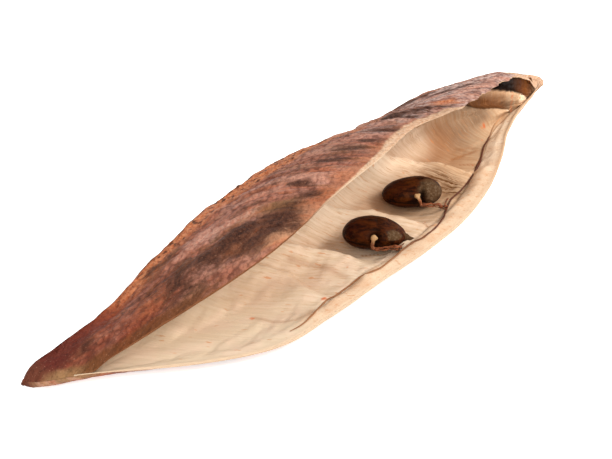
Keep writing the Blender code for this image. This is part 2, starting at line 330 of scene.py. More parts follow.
def flow_slope(x):
    """How steeply the roof's wrinkles cross it: mm round per mm along."""
    return 0.12 + 1.9 * smooth(x, 17.0, 27.0) * smooth(x, 47.0, 39.0)


slope_xs = np.linspace(-1.0, POD_LENGTH + 1.0, 400)
slope_sum = np.concatenate([[0.0], np.cumsum((flow_slope(slope_xs[1:]) + flow_slope(slope_xs[:-1])) / 2 * np.diff(slope_xs))])


def flow(x, g):
    """Coordinates across and along the wrinkles."""
    k = flow_slope(x)
    across = (g - np.interp(x, slope_xs, slope_sum)) / np.sqrt(1 + k * k) ** 0.75
    return across, x

# ------------------------------------------------------------------ the shell
def shape_share(s):
    """Both ends are blunt: the sections there grow faster than the length does."""
    s = float(np.clip(s, 0.0, 1.0))
    if s < 0.04:
        return 0.04 * (s / 0.04) ** 0.62
    if s > 0.955:
        return 1.0 - 0.045 * ((1.0 - s) / 0.045) ** 0.60
    return s


u = np.linspace(0, 1, STATIONS - 42)
mouth_s = MOUTH_START + (MOUTH_END - MOUTH_START) * (0.8 * u + 0.2 * (0.5 - 0.5 * np.cos(np.pi * u)))
head_s = MOUTH_START * (np.linspace(0, 1, 28) ** 1.5)[1:-1] - 0.002
tail_s = 1.0 + 0.003 - (1.003 - MOUTH_END) * (np.linspace(0, 1, 18) ** 1.5)[::-1][1:-1]
stations = np.concatenate([head_s, mouth_s, tail_s])
N_S = len(stations)
I0, I1 = len(head_s), len(head_s) + len(mouth_s) - 1  # corners of the mouth
N_J = LOWER + UPPER
t_low, t_up = np.linspace(0, 1, LOWER + 1), np.linspace(0, 1, UPPER + 1)

# the free margins are a little ragged, most of all the roof's over the far chambers
xs = stations * POD_LENGTH
rag = 0.035 + 0.20 * smooth(xs, 43.0, 48.0) * smooth(xs, 66.0, 61.0)
rim_rag = rag * (fbm(xs * 0.8, 3.1, octaves=4, seed=11, gain=0.68)) * 1.6 + 0.24 * bump(xs, 54.0, 3.2)
# the roof reaches farther over the mouth up to a corner over the fifth chamber, and less beyond it
rim_rag = rim_rag + 0.27 * smooth(xs, 31.0, 36.0) * smooth(xs, 47.4, 46.7) + 0.24 * bump(xs, 45.9, 0.9) + 0.20 * smooth(xs, 46.7, 47.4) * smooth(xs, 53.0, 49.0)
wing_rag = 0.06 * fbm(xs * 0.5, 8.4, octaves=4, seed=15) * 1.5

outer = np.zeros((N_S, N_J + 1, 3))
inner = np.zeros((N_S, N_J + 1, 3))
for i, s in enumerate(stations):
    share = shape_share(s)
    open_here = I0 < i < I1
    base_up = upper_valve(share, t_up)
    arc_up = np.linalg.norm(np.diff(base_up, axis=0), axis=1).sum()
    arc_low = np.linalg.norm(np.diff(lower_valve(share, t_low), axis=0), axis=1).sum()
    e_up = rim_rag[i] / max(arc_up, 1.0) if open_here else 0.0
    e_low = wing_rag[i] / max(arc_low, 1.0) if open_here else 0.0
    tl = 1 - (1 - t_low) * (1 + e_low)
    tu = t_up * (1 + e_up)
    a, b = lower_valve(share, tl), upper_valve(share, tu)
    outer[i, :, 0] = s * POD_LENGTH
    outer[i, :, 1:] = np.vstack([a, b[1:]])
    if open_here:
        a, b = inner_curves(share, np.clip(tl, 0, 1), np.clip(tu, 0, 1))
        inner[i, :, 0] = s * POD_LENGTH
        inner[i, :, 1:] = np.vstack([a, b[1:]])


def grid_normals(p):
    du = np.gradient(p, axis=0)
    dv = np.gradient(p, axis=1)
    n = np.cross(du, dv)
    return n / np.maximum(np.linalg.norm(n, axis=2, keepdims=True), 1e-12)


def blur(field, rounds, axis):
    for _ in range(rounds):
        before = np.roll(field, 1, axis)
        after = np.roll(field, -1, axis)
        if axis == 1:
            before[:, 0], after[:, -1] = field[:, 0], field[:, -1]
        else:
            before[0], after[-1] = field[0], field[-1]
        field = (before + 2 * field + after) / 4
    return field


out_n = -grid_normals(outer)  # outwards
middle = outer.mean(axis=1, keepdims=True)
flip = np.sign(((outer - middle) * out_n).sum(axis=(1, 2)))
out_n *= np.where(flip < 0, -1.0, 1.0)[:, None, None]
for i in list(range(0, I0 + 1)) + list(range(I1, N_S)):
    seam = out_n[i, 0] + out_n[i, -1]
    out_n[i, 0] = out_n[i, -1] = seam / max(np.linalg.norm(seam), 1e-9)

X = outer[:, :, 0]
seg = np.linalg.norm(np.diff(outer, axis=1), axis=2)
girth = np.concatenate([np.zeros((N_S, 1)), np.cumsum(seg, axis=1)], axis=1)
G = girth - girth[:, LOWER][:, None]  # + over the roof, - round the lower valve, 0 at the suture
from_rim = girth[:, -1][:, None] - girth
from_wing = girth
ROOF = G >= 0

# ---- wrinkles, bumps and the dorsal ridge
across, along = flow(X, np.abs(G))
turned = smooth(-G, 0.4, 3.5)  # underneath, the wrinkles run along the pod
across = across + (np.abs(G) * 0.9 + 0.10 * X - across) * turned
side = np.where(ROOF, 0.0, 40.0)
fold = fbm(across * 0.60 + 0.9 * fbm(X * 0.16, G * 0.25, side, 3, 31), along * 0.13, side, 4, 21, 0.55)
pleat = fbm(across * 1.35 + 0.8 * fbm(X * 0.3, G * 0.4, side, 2, 33), along * 0.42, side + 7, 4, 23, 0.55)
grit = fbm(X * 2.2, G * 2.6, side + 3, 3, 27, 0.6)
creases = 1.0 - np.abs(fbm(across * 0.9 + 4.0 + 0.7 * fbm(X * 0.25, G * 0.3, side, 2, 35), along * 0.22, side + 2, 3, 29, 0.5)) * 3.4
creases = np.clip(creases, 0, 1) ** 2.0 * (0.25 + 0.75 * smooth(np.abs(G), 0.3, 1.3))
ends_calm = smooth(X, 0.0, 9.0) * smooth(X, 67.2, 61.0)
swell = sum(a * bump(X, m, w) for m, w, a in ((22.4, 3.0, 0.06), (32.2, 2.6, 0.05), (46.4, 3.0, 0.05), (54.8, 2.4, 0.06)))
swell = (swell - 0.30 * smooth(X, 0.5, 4.0)) * smooth(np.abs(G), 5.0, 0.4)
near_suture = bump(G, 0.0, 0.55)
suture = near_suture * (0.14 + 0.05 * fbm(X * 0.8, G * 1.5, 5.0, 3, 41)) * smooth(X, 1.0, 6.0) * smooth(X, 66.5, 62.0)
margin = smooth(np.minimum(from_rim, from_wing), 0.0, 1.6)
# dark fissures run along the roof beside the suture over the far chambers
fissure_line = 1.0 + 0.40 * np.clip(X - 46.0, -4.0, 8.0) + 0.30 * fbm(X * 0.35, 2.0, octaves=3, seed=51)
fissure = sum(
    w * bump(G, fissure_line + o, h * (1 + 0.6 * fbm(X * 1.7, o, octaves=3, seed=57))) * smooth(fbm(X * f, o * 3, octaves=3, seed=int(53 + 7 * o)), -0.25, 0.15)
    for o, h, f, w in ((0.0, 0.22, 0.45, 1.0), (0.80, 0.17, 0.6, 0.9), (-0.6, 0.14, 0.7, 0.7), (1.7, 0.15, 0.5, 0.5))
) * smooth(X, 40.0, 45.0) * smooth(X, 57.5, 54.0) * ROOF
common = (0.22 * fold + 0.10 * pleat) * margin * (0.35 + 0.65 * ends_calm) + swell
skin_only = 0.030 * grit * (0.4 + 0.6 * margin) - 0.10 * creases * margin * ends_calm - 0.14 * fissure * margin + suture
# the chambers show outside as low swellings
inside_xy = chamber_relief(X, np.abs(G))
common = common - 0.22 * inside_xy * smooth(np.abs(G), 0.4, 2.5) * margin
thin = smooth(np.minimum(X - MOUTH_START * POD_LENGTH, MOUTH_END * POD_LENGTH - X), 0.0, 5.5)
thin[: I0 - 6], thin[I1 + 6 :] = 1.0, 1.0
skin_only = skin_only * (0.25 + 0.75 * thin)
for i in list(range(0, I0 + 1)) + list(range(I1, N_S)):
    for f in (common, skin_only):
        f[i, 0] = f[i, -1] = (f[i, 0] + f[i, -1]) / 2
FLOOR = -SHIFT[2]  # the ground, in the pod frame
outer_moved = outer + out_n * (common + skin_only)[:, :, None]
outer_moved[:, :, 2] = np.maximum(outer_moved[:, :, 2], FLOOR)

# ---- the inside
in_base = inner.copy()
inner_moved = inner + out_n * common[:, :, None]
# where the outside was held at the ground, the inside is held with it
held = np.maximum(FLOOR - (outer + out_n * common[:, :, None])[:, :, 2], 0.0)
inner_moved[:, :, 2] += np.where(ROOF, 0.0, held)
in_n = -blur(out_n, 4, 1)
rows = slice(I0 + 1, I1)
line_g = np.zeros((N_S, 1))
for i in range(I0 + 1, I1):
    line_g[i, 0] = np.interp(placenta_y(stations[i]), in_base[i, : LOWER + 1, 1], -G[i, : LOWER + 1])
line_g[: I0 + 1], line_g[I1:] = line_g[I0 + 1], line_g[I1 - 1]
relief_low = lower_inside_relief(in_base[:, :, 0], in_base[:, :, 1], np.abs(G), line_g)
relief_up = 0.45 * chamber_relief(in_base[:, :, 0], np.abs(G)) * smooth(G, 0.4, 2.4) * smooth(from_rim, 0.4, 2.2)
fibre_across = in_base[:, :, 0] * 0.883 + in_base[:, :, 1] * 0.469
fibre_along = in_base[:, :, 0] * 0.469 - in_base[:, :, 1] * 0.883
fibres = (1 - 0.35 * smooth(X, 24.0, 34.0) - 0.35 * smooth(X, 46.0, 54.0)) * (0.030 * fbm(fibre_across * 2.6, fibre_along * 0.22, 2.0 + side, 3, 61) + 0.05 * fbm(fibre_across * 0.9, fibre_along * 0.12, side, 3, 63))
calm_corner = smooth(X, MOUTH_START * POD_LENGTH, 6.5) * smooth(X, MOUTH_END * POD_LENGTH, 61.5)
lift = np.where(ROOF, relief_up, relief_low) * calm_corner + fibres * smooth(np.minimum(from_rim, from_wing), 0.05, 0.8) * smooth(np.abs(G), 0.3, 1.4) * calm_corner
low_n = in_n.copy()
# on the lower valve crests rise straight up, so that they keep their places in plan
low_n[:, :, :2] *= np.where(ROOF, 1.0, 0.35 + 0.65 * smooth(X, 46.0, 54.0))[:, :, None]
low_n /= np.linalg.norm(low_n, axis=2, keepdims=True)
inner_moved = inner_moved + low_n * lift[:, :, None]

# nowhere is the wall thinner than this, at the corners of the mouth either
skin_faces = [(i * (N_J + 1) + j, i * (N_J + 1) + j + 1, (i + 1) * (N_J + 1) + j + 1, (i + 1) * (N_J + 1) + j) for i in range(N_S - 1) for j in range(N_J)]
skin_tree = BVHTree.FromPolygons([tuple(v) for v in outer_moved.reshape(-1, 3)], skin_faces)
for _ in range(2):
    for i in range(I0 + 1, I1):
        least = 0.06 + 0.08 * float(smooth(min(i - I0, I1 - i), 0, 14))
        for j in range(1, N_J):
            if 9.0 < X[i, j] < 60.0 and abs(G[i, j]) > 1.2:
                continue
            here = inner_moved[i, j]
            hit, _n, index, _d = skin_tree.find_nearest(Vector(here))
            a, b = divmod(index, N_J)
            away = out_n[a, b]
            depth = float((np.array(hit) - here) @ away)
            want = least * min(1.0, min(from_rim[i, j], from_wing[i, j]) / 0.3)
            if depth < want:
                inner_moved[i, j] = here - away * (want - depth)

# ---- marks on the inside, at their places in the picture
plan = inner_moved[rows, : LOWER + 1]
plan_faces = []
pn, pm = plan.shape[0], plan.shape[1]
for a in range(pn - 1):
    for b in range(pm - 1):
        k = a * pm + b
        plan_faces.append((k, k + 1, k + pm + 1, k + pm))
valve_tree = BVHTree.FromPolygons([tuple(v) for v in plan.reshape(-1, 3)], plan_faces)
roof = outer_moved[:, LOWER:]
rn, rm = roof.shape[0], roof.shape[1]
roof_faces = [(a * rm + b, a * rm + b + 1, (a + 1) * rm + b + 1, (a + 1) * rm + b) for a in range(rn - 1) for b in range(rm - 1)]
roof_tree = BVHTree.FromPolygons([tuple(v) for v in roof.reshape(-1, 3)], roof_faces)


def on_valve(px, py):
    hit = valve_tree.ray_cast(Vector(CAMERA_AT), Vector(sight(px, py)))
    return None if hit[0] is None else np.array(hit[0])


def valve_height(x, y):
    hit = valve_tree.ray_cast(Vector((x, y, 4.0)), Vector((0, 0, -1)))
    return 0.6 if hit[0] is None else hit[0].z


def on_roof(px, py):
    """(x, g) on the roof's outside under a place in the picture."""
    hit = roof_tree.ray_cast(Vector(CAMERA_AT), Vector(sight(px, py)))
    if hit[0] is None:
        return None
    a, b = divmod(hit[2], rm - 1)
    return float(X[a, LOWER + b]), float(G[a, LOWER + b])


def stroke(points, px, py):
    """Distance in plan from every inside vertex to a polyline."""
    best = np.full(px.shape, 1e9)
    for a, b in zip(points, points[1:]):
        d = b - a
        t = np.clip(((px - a[0]) * d[0] + (py - a[1]) * d[1]) / max(float(d @ d), 1e-9), 0, 1)
        best = np.minimum(best, np.hypot(px - a[0] - t * d[0], py - a[1] - t * d[1]))
    return best


IX, IY = inner_moved[:, :, 0], inner_moved[:, :, 1]
line_mask = np.zeros_like(IX)
for pts, width, strength in (
    (((255, 318), (275, 322), (290, 321), (305, 316), (312, 311)), 0.22, 0.75),
    (((226, 299), (245, 299)), 0.25, 0.35),
    # a broad stroke of painted shade on the first chamber's floor
    (((252, 294), (272, 288), (296, 282)), 1.3, 0.30),
    # a broad stroke of painted shade in the far chamber's hollow
    (((470, 100), (485, 103), (498, 106)), 0.9, 0.45),
    (((290, 259), (318, 266), (345, 277)), 0.28, 0.40),
    (((362, 256), (378, 255), (392, 252)), 0.13, 0.8),
    (((423, 223), (434, 226)), 0.10, 0.8),
    (((408, 210), (425, 207), (441, 204)), 0.14, 0.45),
    (((452, 160), (463, 156), (476, 151)), 0.16, 0.6),
    (((445, 165), (460, 165), (474, 165)), 0.10, 0.7),
    (((459, 150), (470, 148), (478, 148)), 0.12, 0.35),
    (((462, 132), (478, 137)), 0.10, 0.35),
    (((462, 122), (478, 127)), 0.10, 0.35),
):
    there = [p for p in (on_valve(*q) for q in pts) if p is not None]
    if len(there) > 1:
        line_mask = np.maximum(line_mask, strength * bump(stroke(there, IX, IY), 0, width))
spot_mask = np.zeros_like(IX)
for px, py, size, strength in (
    (252, 318.5, 0.26, 0.9), (324, 298.5, 0.30, 1.0), (236, 350, 0.30, 0.55), (347, 267, 0.20, 0.7), (484, 125.5, 0.22, 0.9),
    (425, 222.5, 0.14, 0.9), (473, 165.5, 0.13, 1.0), (482, 140, 0.12, 0.9), (447, 200, 0.2, 0.9), (512, 97, 0.25, 0.6), (497, 131, 0.1, 0.6),
):
    p = on_valve(px, py)
    if p is not None:
        spot_mask = np.maximum(spot_mask, strength * bump(np.hypot((IX - p[0]) * 0.8, (IY - p[1]) * 1.2), 0, size))
# a pit of dark fibres where the far seed's end was attached; its dark is partly painted shade
pit = on_valve(446, 187)
pit_mask = np.zeros_like(IX)
if pit is not None:
    pit_mask = np.clip(1.7 * bump(np.hypot((IX - pit[0]) * 0.75, (IY - pit[1])), 0, 0.68), 0, 1)
    inner_moved[:, :, 2] -= np.where(ROOF, 0, 0.18 * pit_mask * smooth(fbm(fibre_across * 3.2, fibre_along * 0.3, 1.0, 2, 71), -0.4, 0.4))

# a darker streaky patch by the far seed's end, partly dark fibres and partly painted shade
stain_mask = np.zeros_like(IX)
stain = on_valve(444, 184)
if stain is not None:
    stain_mask = np.clip(1.5 * bump(np.hypot((IX - stain[0]) * 0.70, (IY - stain[1]) * 0.70), 0, 1.30) * smooth(fbm(fibre_across * 2.2, fibre_along * 0.4, 5.0, 3, 73), -0.7, 0.2), 0, 1)

# ---- vertices and faces
outer_id = np.zeros((N_S, N_J + 1), int)
inner_id = np.full((N_S, N_J + 1), -1, int)
points, coat, info = [], [], []
fields = {k: [] for k in ("where", "grain", "inside", "dark", "warm", "pale", "wrinkle", "shade", "line", "spot", "edge", "ruddy", "under", "ochre", "pocket", "skin", "rose", "dusky")}


def add(p, where, grain, **f):
    points.append(p)
    fields["where"].append(where)
    fields["grain"].append(grain)
    for k in fields:
        if k not in ("where", "grain"):
            fields[k].append(f.get(k, 0.0))
    return len(points) - 1


def blotches(table_):
    """Soft patches on the roof at their places in the picture: x, y, half length, half width, lean, strength."""
    mask = np.zeros_like(X)
    for px, py, a, b, lean, strength in table_:
        at = on_roof(px, py)
        if at is None:
            continue
        dx, dg = X - at[0], G - at[1]
        p = dx * math.cos(lean) + dg * math.sin(lean)
        q = -dx * math.sin(lean) + dg * math.cos(lean)
        mask = np.maximum(mask, strength * np.exp(-((p / (1.25 * a)) ** 2) - (q / (1.35 * b)) ** 2) * ROOF)
    return mask


dark_mask = blotches((
    (281, 221, 1.7, 0.9, 0.5, 1.0), (268, 227, 1.5, 0.7, 0.4, 0.8), (243, 233, 1.6, 0.9, 0.35, 1.0), (254, 241, 1.4, 0.7, 0.3, 0.7), (294, 224, 1.0, 0.7, 0.6, 0.8),
    (225, 246, 1.8, 0.6, 0.3, 0.65), (208, 258, 2.0, 0.8, 0.2, 0.7), (190, 272, 1.6, 0.7, 0.15, 0.6), (222, 262, 1.5, 0.6, 0.2, 0.5), (175, 284, 1.8, 0.8, 0.1, 0.75),
    (165, 292, 1.2, 0.5, 0.05, 0.6), (188, 290, 1.5, 0.8, 0.0, 0.55), (205, 283, 1.6, 0.7, 0.0, 0.45), (155, 269, 0.9, 0.5, 0.1, 0.7), (153, 280, 0.8, 0.45, 0.1, 0.6),
    (302, 183, 1.1, 0.35, 1.1, 0.95), (309, 170, 0.8, 0.3, 1.1, 0.6), (334, 159, 1.5, 0.42, 1.0, 0.95), (322, 161, 0.9, 0.35, 1.0, 0.6), (316, 193, 0.9, 0.5, 1.0, 0.85),
    (303, 201, 1.1, 0.4, 1.0, 0.55), (352, 148, 1.2, 0.35, 0.9, 0.75), (345, 160, 1.0, 0.35, 0.9, 0.6), (290, 172, 0.9, 0.3, 0.9, 0.5), (272, 186, 1.0, 0.4, 0.7, 0.5),
    (372, 140, 1.3, 0.45, 0.9, 0.75), (388, 131, 1.4, 0.6, 0.9, 1.0), (392, 118, 1.6, 0.6, 0.5, 1.0), (410, 118, 1.3, 0.4, 0.7, 0.75), (430, 107, 1.5, 0.38, 0.5, 0.95),
    (420, 113, 0.9, 0.4, 0.6, 0.6), (405, 104, 2.0, 0.35, 0.1, 0.8), (420, 97, 2.2, 0.28, 0.05, 0.85), (438, 93, 2.2, 0.25, 0.05, 0.9), (455, 89, 2.2, 0.22, 0.05, 0.9),
    (470, 85, 1.8, 0.22, 0.05, 0.7), (345, 136, 1.2, 0.4, 0.6, 0.5), (250, 205, 1.2, 0.4, 0.5, 0.5), (236, 216, 1.3, 0.4, 0.4, 0.55), (447, 112, 1.0, 0.3, 0.4, 0.6), (231, 208, 0.6, 0.3, 0.3, 0.6),
))
orange_mask = blotches((
    (147, 278, 2.0, 0.7, 0.0, 0.7), (130, 290, 2.0, 0.8, 0.0, 0.8), (148, 310, 3.0, 0.9, 0.05, 0.6), (257, 231, 1.2, 0.4, 0.4, 0.7), (330, 192, 1.3, 0.7, 0.9, 0.9), (318, 205, 1.4, 0.6, 0.8, 0.7),
    (345, 176, 1.2, 0.6, 0.9, 0.7), (386, 147, 1.2, 0.6, 0.9, 0.9), (402, 130, 1.2, 0.6, 0.8, 0.7), (420, 122, 1.1, 0.5, 0.7, 0.6), (447, 103, 1.3, 0.6, 0.6, 0.95),
    (240, 248, 1.6, 0.5, 0.3, 0.4), (285, 240, 1.5, 0.5, 0.5, 0.6), (306, 219, 1.3, 0.5, 0.6, 0.7), (365, 158, 1.2, 0.5, 0.9, 0.6), (300, 192, 1.0, 0.3, 1.0, 0.4), (366, 128, 1.3, 0.4, 0.7, 0.4),
))
ochre_mask = blotches((
    (283, 204, 2.0, 0.6, 0.8, 0.8), (300, 208, 1.2, 0.6, 0.8, 0.7), (250, 216, 2.2, 0.5, 0.4, 0.6), (228, 232, 2.0, 0.6, 0.3, 0.4), (310, 150, 1.6, 0.5, 0.9, 0.5),
    (196, 296, 2.0, 0.9, 0.1, 0.5), (215, 270, 1.8, 0.6, 0.2, 0.35), (345, 150, 1.2, 0.4, 0.9, 0.4), (398, 122, 1.2, 0.4, 0.8, 0.5), (365, 147, 1.2, 0.4, 0.9, 0.4),
))
# round the back and underneath the same kinds of patches, at random
elsewhere = np.where(ROOF, 0.0, 1.0)
wander = 1.2 * fbm(X * 0.15, G * 0.2, 57.0, 3, 80)
back = np.clip(fbm(G * 0.40 + 9.0 + wander, X * 0.20 + wander, 60.0, 5, 81, 0.6) * 2.2 - 0.30, 0, 1) * smooth(X, 4.0, 10.0)
dark_mask = np.maximum(dark_mask, back * np.where(ROOF, 0.25, 0.25 + 0.45 * smooth(-G, 0.2, 2.0)))
dark_mask = np.clip(dark_mask + 0.9 * np.clip(fissure, 0, 1), 0, 1)
orange_mask = np.maximum(orange_mask, elsewhere * 0.6 * np.clip(fbm(G * 0.45 + 3.0 - wander, X * 0.22, 66.0, 5, 83, 0.6) * 2.4 - 0.4, 0, 1) * smooth(-G, 0.2, 2.0))
ochre_mask = np.maximum(ochre_mask, elsewhere * 0.6 * np.clip(fbm(G * 0.45 + 5.0, X * 0.22 - wander, 69.0, 5, 87, 0.6) * 2.4 - 0.3, 0, 1) * smooth(-G, 0.2, 2.0))

uneven = fbm(X * 0.5, 2.2, side, 3, 45)
# the warm band along the suture shows some 9 pixels wide below the outline
world_rel = outer_moved - CAMERA_AT
depth_px = world_rel @ cam_ahead
seen_x = PICTURE_W / 2 + FOCAL * (world_rel @ cam_right) / depth_px
seen_y = PICTURE_H / 2 - FOCAL * (world_rel @ cam_up) / depth_px
columns = np.round(seen_x).astype(int)
skyline = {}
for c, y in zip(columns.ravel(), seen_y.ravel()):
    skyline[c] = min(skyline.get(c, 1e9), y)
sky = np.array([[skyline[c] for c in line_] for line_ in columns])
below = seen_y - sky
reach_g = np.full(N_S, 1.2)
for i in range(N_S):
    roof_part = [(G[i, j], below[i, j]) for j in range(LOWER, N_J) if G[i, j] < 5.0]
    past = [g for g, b in roof_part if b > 8.5]
    reach_g[i] = past[0] if past else 1.2
reach_g = np.polyval(np.polyfit(xs[(xs > 9) & (xs < 46)], reach_g[(xs > 9) & (xs < 46)], 3), np.clip(xs, 9, 46))[:, None]
band_out = np.clip(reach_g, 0.8, 3.0) + 0.45 * uneven
suture_band = smooth(np.where(ROOF, G, -G * 2.0 - 0.8 * fbm(X * 0.4, G * 0.5, 30.0, 3, 46)), band_out + np.where(ROOF, 0.75, 1.2), band_out - np.where(ROOF, 0.75, 1.2)) * np.where(ROOF, 0.95, 0.7) * smooth(X, 6.0, 12.0) * smooth(X + 7.0 * fbm(X * 0.35, G * 0.6, 36.0, 4, 48, 0.6), 50.0, 32.0)
suture_band = np.maximum(suture_band, 0.55 * smooth(np.abs(G), 0.7, 0.25) * smooth(X, 36.0, 42.0) * smooth(X, 60.0, 52.0))
rim_warm = smooth(from_rim, 1.9 + 0.6 * uneven, 0.5) * ROOF * smooth(X, 13.0, 22.0) * smooth(X, 49.0, 40.0)
warm = np.clip(suture_band + orange_mask, 0, 1)
pale_width = (0.12 + 0.60 * smooth(X, 26.0, 37.0)) * (1 - 0.93 * smooth(X, 44.4, 46.6)) * (1 + 0.25 * uneven)
pale = smooth(from_rim, pale_width * 1.6, pale_width * 0.5) * ROOF * smooth(X, 20.0, 30.0)
pale = pale * smooth(X, 47.0, 46.0)
pale = np.maximum(pale, smooth(X + np.where(ROOF, 0.7 * uneven, 2.4 * fbm(X * 0.4, G * 0.7, 33.0, 4, 47, 0.6) - 1.0), 58.8, 61.6 + 1.6 * turned) * np.where(ROOF, 0.9, 0.75))
pale = np.maximum(pale, smooth(from_wing, 0.5, 0.12) * ~ROOF * smooth(X, 3.0, 8.0))
# rose tone: the listed bands are painted highlight; the random patches round the back, below, are the skin's own tone
rose = blotches((
    (192, 246, 1.6, 0.5, 0.15, 0.7), (203, 239, 1.6, 0.5, 0.2, 0.9), (217, 231, 1.6, 0.5, 0.25, 0.9), (232, 222, 1.6, 0.5, 0.3, 0.9), (247, 214, 1.5, 0.45, 0.4, 0.8),
    (262, 194, 1.5, 0.4, 0.6, 0.6), (280, 188, 1.5, 0.4, 0.7, 0.7), (297, 180, 1.4, 0.4, 0.8, 0.6), (322, 176, 1.2, 0.4, 0.9, 0.6), (345, 168, 1.2, 0.4, 0.9, 0.6),
    (330, 146, 1.4, 0.35, 0.8, 0.6), (362, 136, 1.4, 0.4, 0.8, 0.7), (378, 124, 1.5, 0.4, 0.6, 0.6), (408, 124, 1.2, 0.4, 0.7, 0.6), (432, 113, 1.4, 0.4, 0.5, 0.7),
    (395, 110, 1.6, 0.3, 0.3, 0.7), (430, 99, 2.0, 0.3, 0.1, 0.9), (455, 95, 2.0, 0.35, 0.1, 1.0), (480, 86, 2.0, 0.4, 0.1, 1.0), (500, 79, 1.8, 0.4, 0.1, 0.8), (465, 80, 2.0, 0.2, 0.1, 0.8),
))
rose = np.maximum(rose, elsewhere * 0.6 * np.clip(fbm(G * 0.5 + 7.0, X * 0.25 + wander, 72.0, 5, 89, 0.6) * 2.4 - 0.2, 0, 1) * smooth(-G, 0.2, 2.0))
# painted highlight: a pale glow along the roof's outline as the camera sees it
rose = np.maximum(rose, 0.9 * smooth(below, 3.4, 0.6) * ROOF * smooth(X, 12.0, 18.0) * smooth(X, 47.0, 40.0))
# broad dark bands across the near and middle roof, partly the skin's dark and partly painted shade
dusky = blotches((
    (205, 262, 4.5, 1.1, 0.15, 0.42), (240, 238, 4.0, 1.0, 0.3, 0.6), (278, 224, 3.0, 1.1, 0.5, 0.7), (228, 240, 3.5, 0.5, 0.3, 0.6), (165, 284, 3.0, 1.0, 0.1, 0.45), (157, 268, 2.2, 0.8, 0.1, 0.6), (88, 340, 2.5, 0.8, 0.0, 0.35), (284, 222, 2.4, 1.4, 0.5, 1.0), (262, 233, 2.6, 1.4, 0.4, 1.0), (245, 240, 2.4, 1.3, 0.35, 0.95), (215, 262, 2.6, 1.2, 0.2, 0.35),
    (310, 196, 2.0, 0.8, 0.9, 0.4), (350, 152, 2.4, 0.9, 0.9, 0.4), (390, 126, 2.4, 0.9, 0.8, 0.45), (425, 108, 2.6, 0.7, 0.5, 0.5),
))
ruddy = smooth(np.abs(G), 2.6, 0.6) * smooth(X, 14.0, 7.0)
under = smooth(from_rim, 1.5 + 0.4 * uneven, 0.25) * ROOF * smooth(X, 17.0, 9.0) * smooth(X, 1.5, 4.0)
ochre = np.maximum(ochre_mask, smooth(np.minimum(from_rim, from_wing), 1.3, 0.3) * smooth(X, 5.0, 3.2))
ochre = np.maximum(ochre, 0.9 * smooth(X, 2.4, 0.6))
# the wrinkles' height, which the skin's material turns into painted highlight on their crests
wrinkle = np.clip(fold * 1.6 + pleat * 0.8, -1, 1)

edge_skin = smooth(X[:, 0], 27.0, 20.0)
for i in range(N_S):
    for j in range(N_J + 1):
        if j == N_J and (i <= I0 or i >= I1):
            outer_id[i, j] = outer_id[i, 0]
            continue
        outer_id[i, j] = add(
            outer_moved[i, j], (X[i, j], G[i, j], side[i, j]), (across[i, j], along[i, j], side[i, j]),
            dark=dark_mask[i, j], warm=warm[i, j], pale=pale[i, j], wrinkle=wrinkle[i, j], ruddy=ruddy[i, j], under=under[i, j],
            ochre=ochre[i, j], spot=suture_band[i, j], line=rim_warm[i, j], skin=edge_skin[i] * float(j > N_J - 3), rose=rose[i, j], dusky=dusky[i, j],
            edge=float(np.exp(-min(from_rim[i, j], from_wing[i, j]) / 0.25)) if I0 < i < I1 else 0.0,
        )
chamber = np.where(ROOF, relief_up, relief_low)
near_strand = smooth(np.abs(G) / np.maximum(line_g, 0.5), 0.45, 1.0)
share_in = np.abs(G) / np.maximum(line_g, 0.5)
# painted shade: the lower valve's chamber floors are darkened, less toward the strand and under the roof's edge, more
# in the far chambers
shade_field = np.where(ROOF, 0.5, chamber_depth(X, np.abs(G)) * (1 - 0.75 * near_strand) * (1 - 0.75 * smooth(share_in, 0.60, 0.36) * smooth(X, 49.0, 46.0)))
shade_field = np.where(ROOF, shade_field, np.maximum(shade_field, 0.55 * smooth(X, 49.0, 50.5) * smooth(X, 58.0, 55.0) * smooth(share_in, 0.95, 0.55)))
# painted light: toward the roof's edge the lower valve's inside is lightened, against the shade the roof casts there
lit_in = smooth(share_in, 0.80, 0.40) * (~ROOF) * smooth(X, 22.0, 32.0) * smooth(X, 49.0, 46.0)
inside_line = placenta_y(X / POD_LENGTH)
beyond = X - crest_x(CRESTS[-1][0], np.abs(G))
rim_skin = smooth(from_rim, 0.7, 0.2) * ROOF * smooth(X, 27.0, 20.0)
# painted shade in the hood's pocket: the roof's inside over the far end, and the lower valve beyond the last crest
pocket = np.where(ROOF, smooth(X, 49.0, 56.0), smooth(beyond, 0.0, 0.8) * smooth(inside_line - IY, 0.3, -0.3))
wing_band = smooth(inside_line - IY, -0.05, 0.25) * (~ROOF) * smooth(X, 12.0, 22.0)
for i in range(I0 + 1, I1):
    for j in range(N_J + 1):
        inner_id[i, j] = add(
            inner_moved[i, j], (IX[i, j], IY[i, j], 20.0 + side[i, j]), (fibre_across[i, j], fibre_along[i, j], 20.0 + side[i, j]),
            inside=1.0, shade=shade_field[i, j] * (1 - wing_band[i, j]), wrinkle=lit_in[i, j], line=max(line_mask[i, j], 0.0) * (not ROOF[i, j]),
            spot=spot_mask[i, j] * (not ROOF[i, j]), pale=wing_band[i, j], dark=max(pit_mask[i, j], stain_mask[i, j]) * (not ROOF[i, j]), warm=float(ROOF[i, j]), pocket=pocket[i, j], skin=rim_skin[i, j],
            edge=float(np.exp(-min(from_rim[i, j], from_wing[i, j]) / 0.25)),
        )
wing_lip, rim_lip = {}, {}
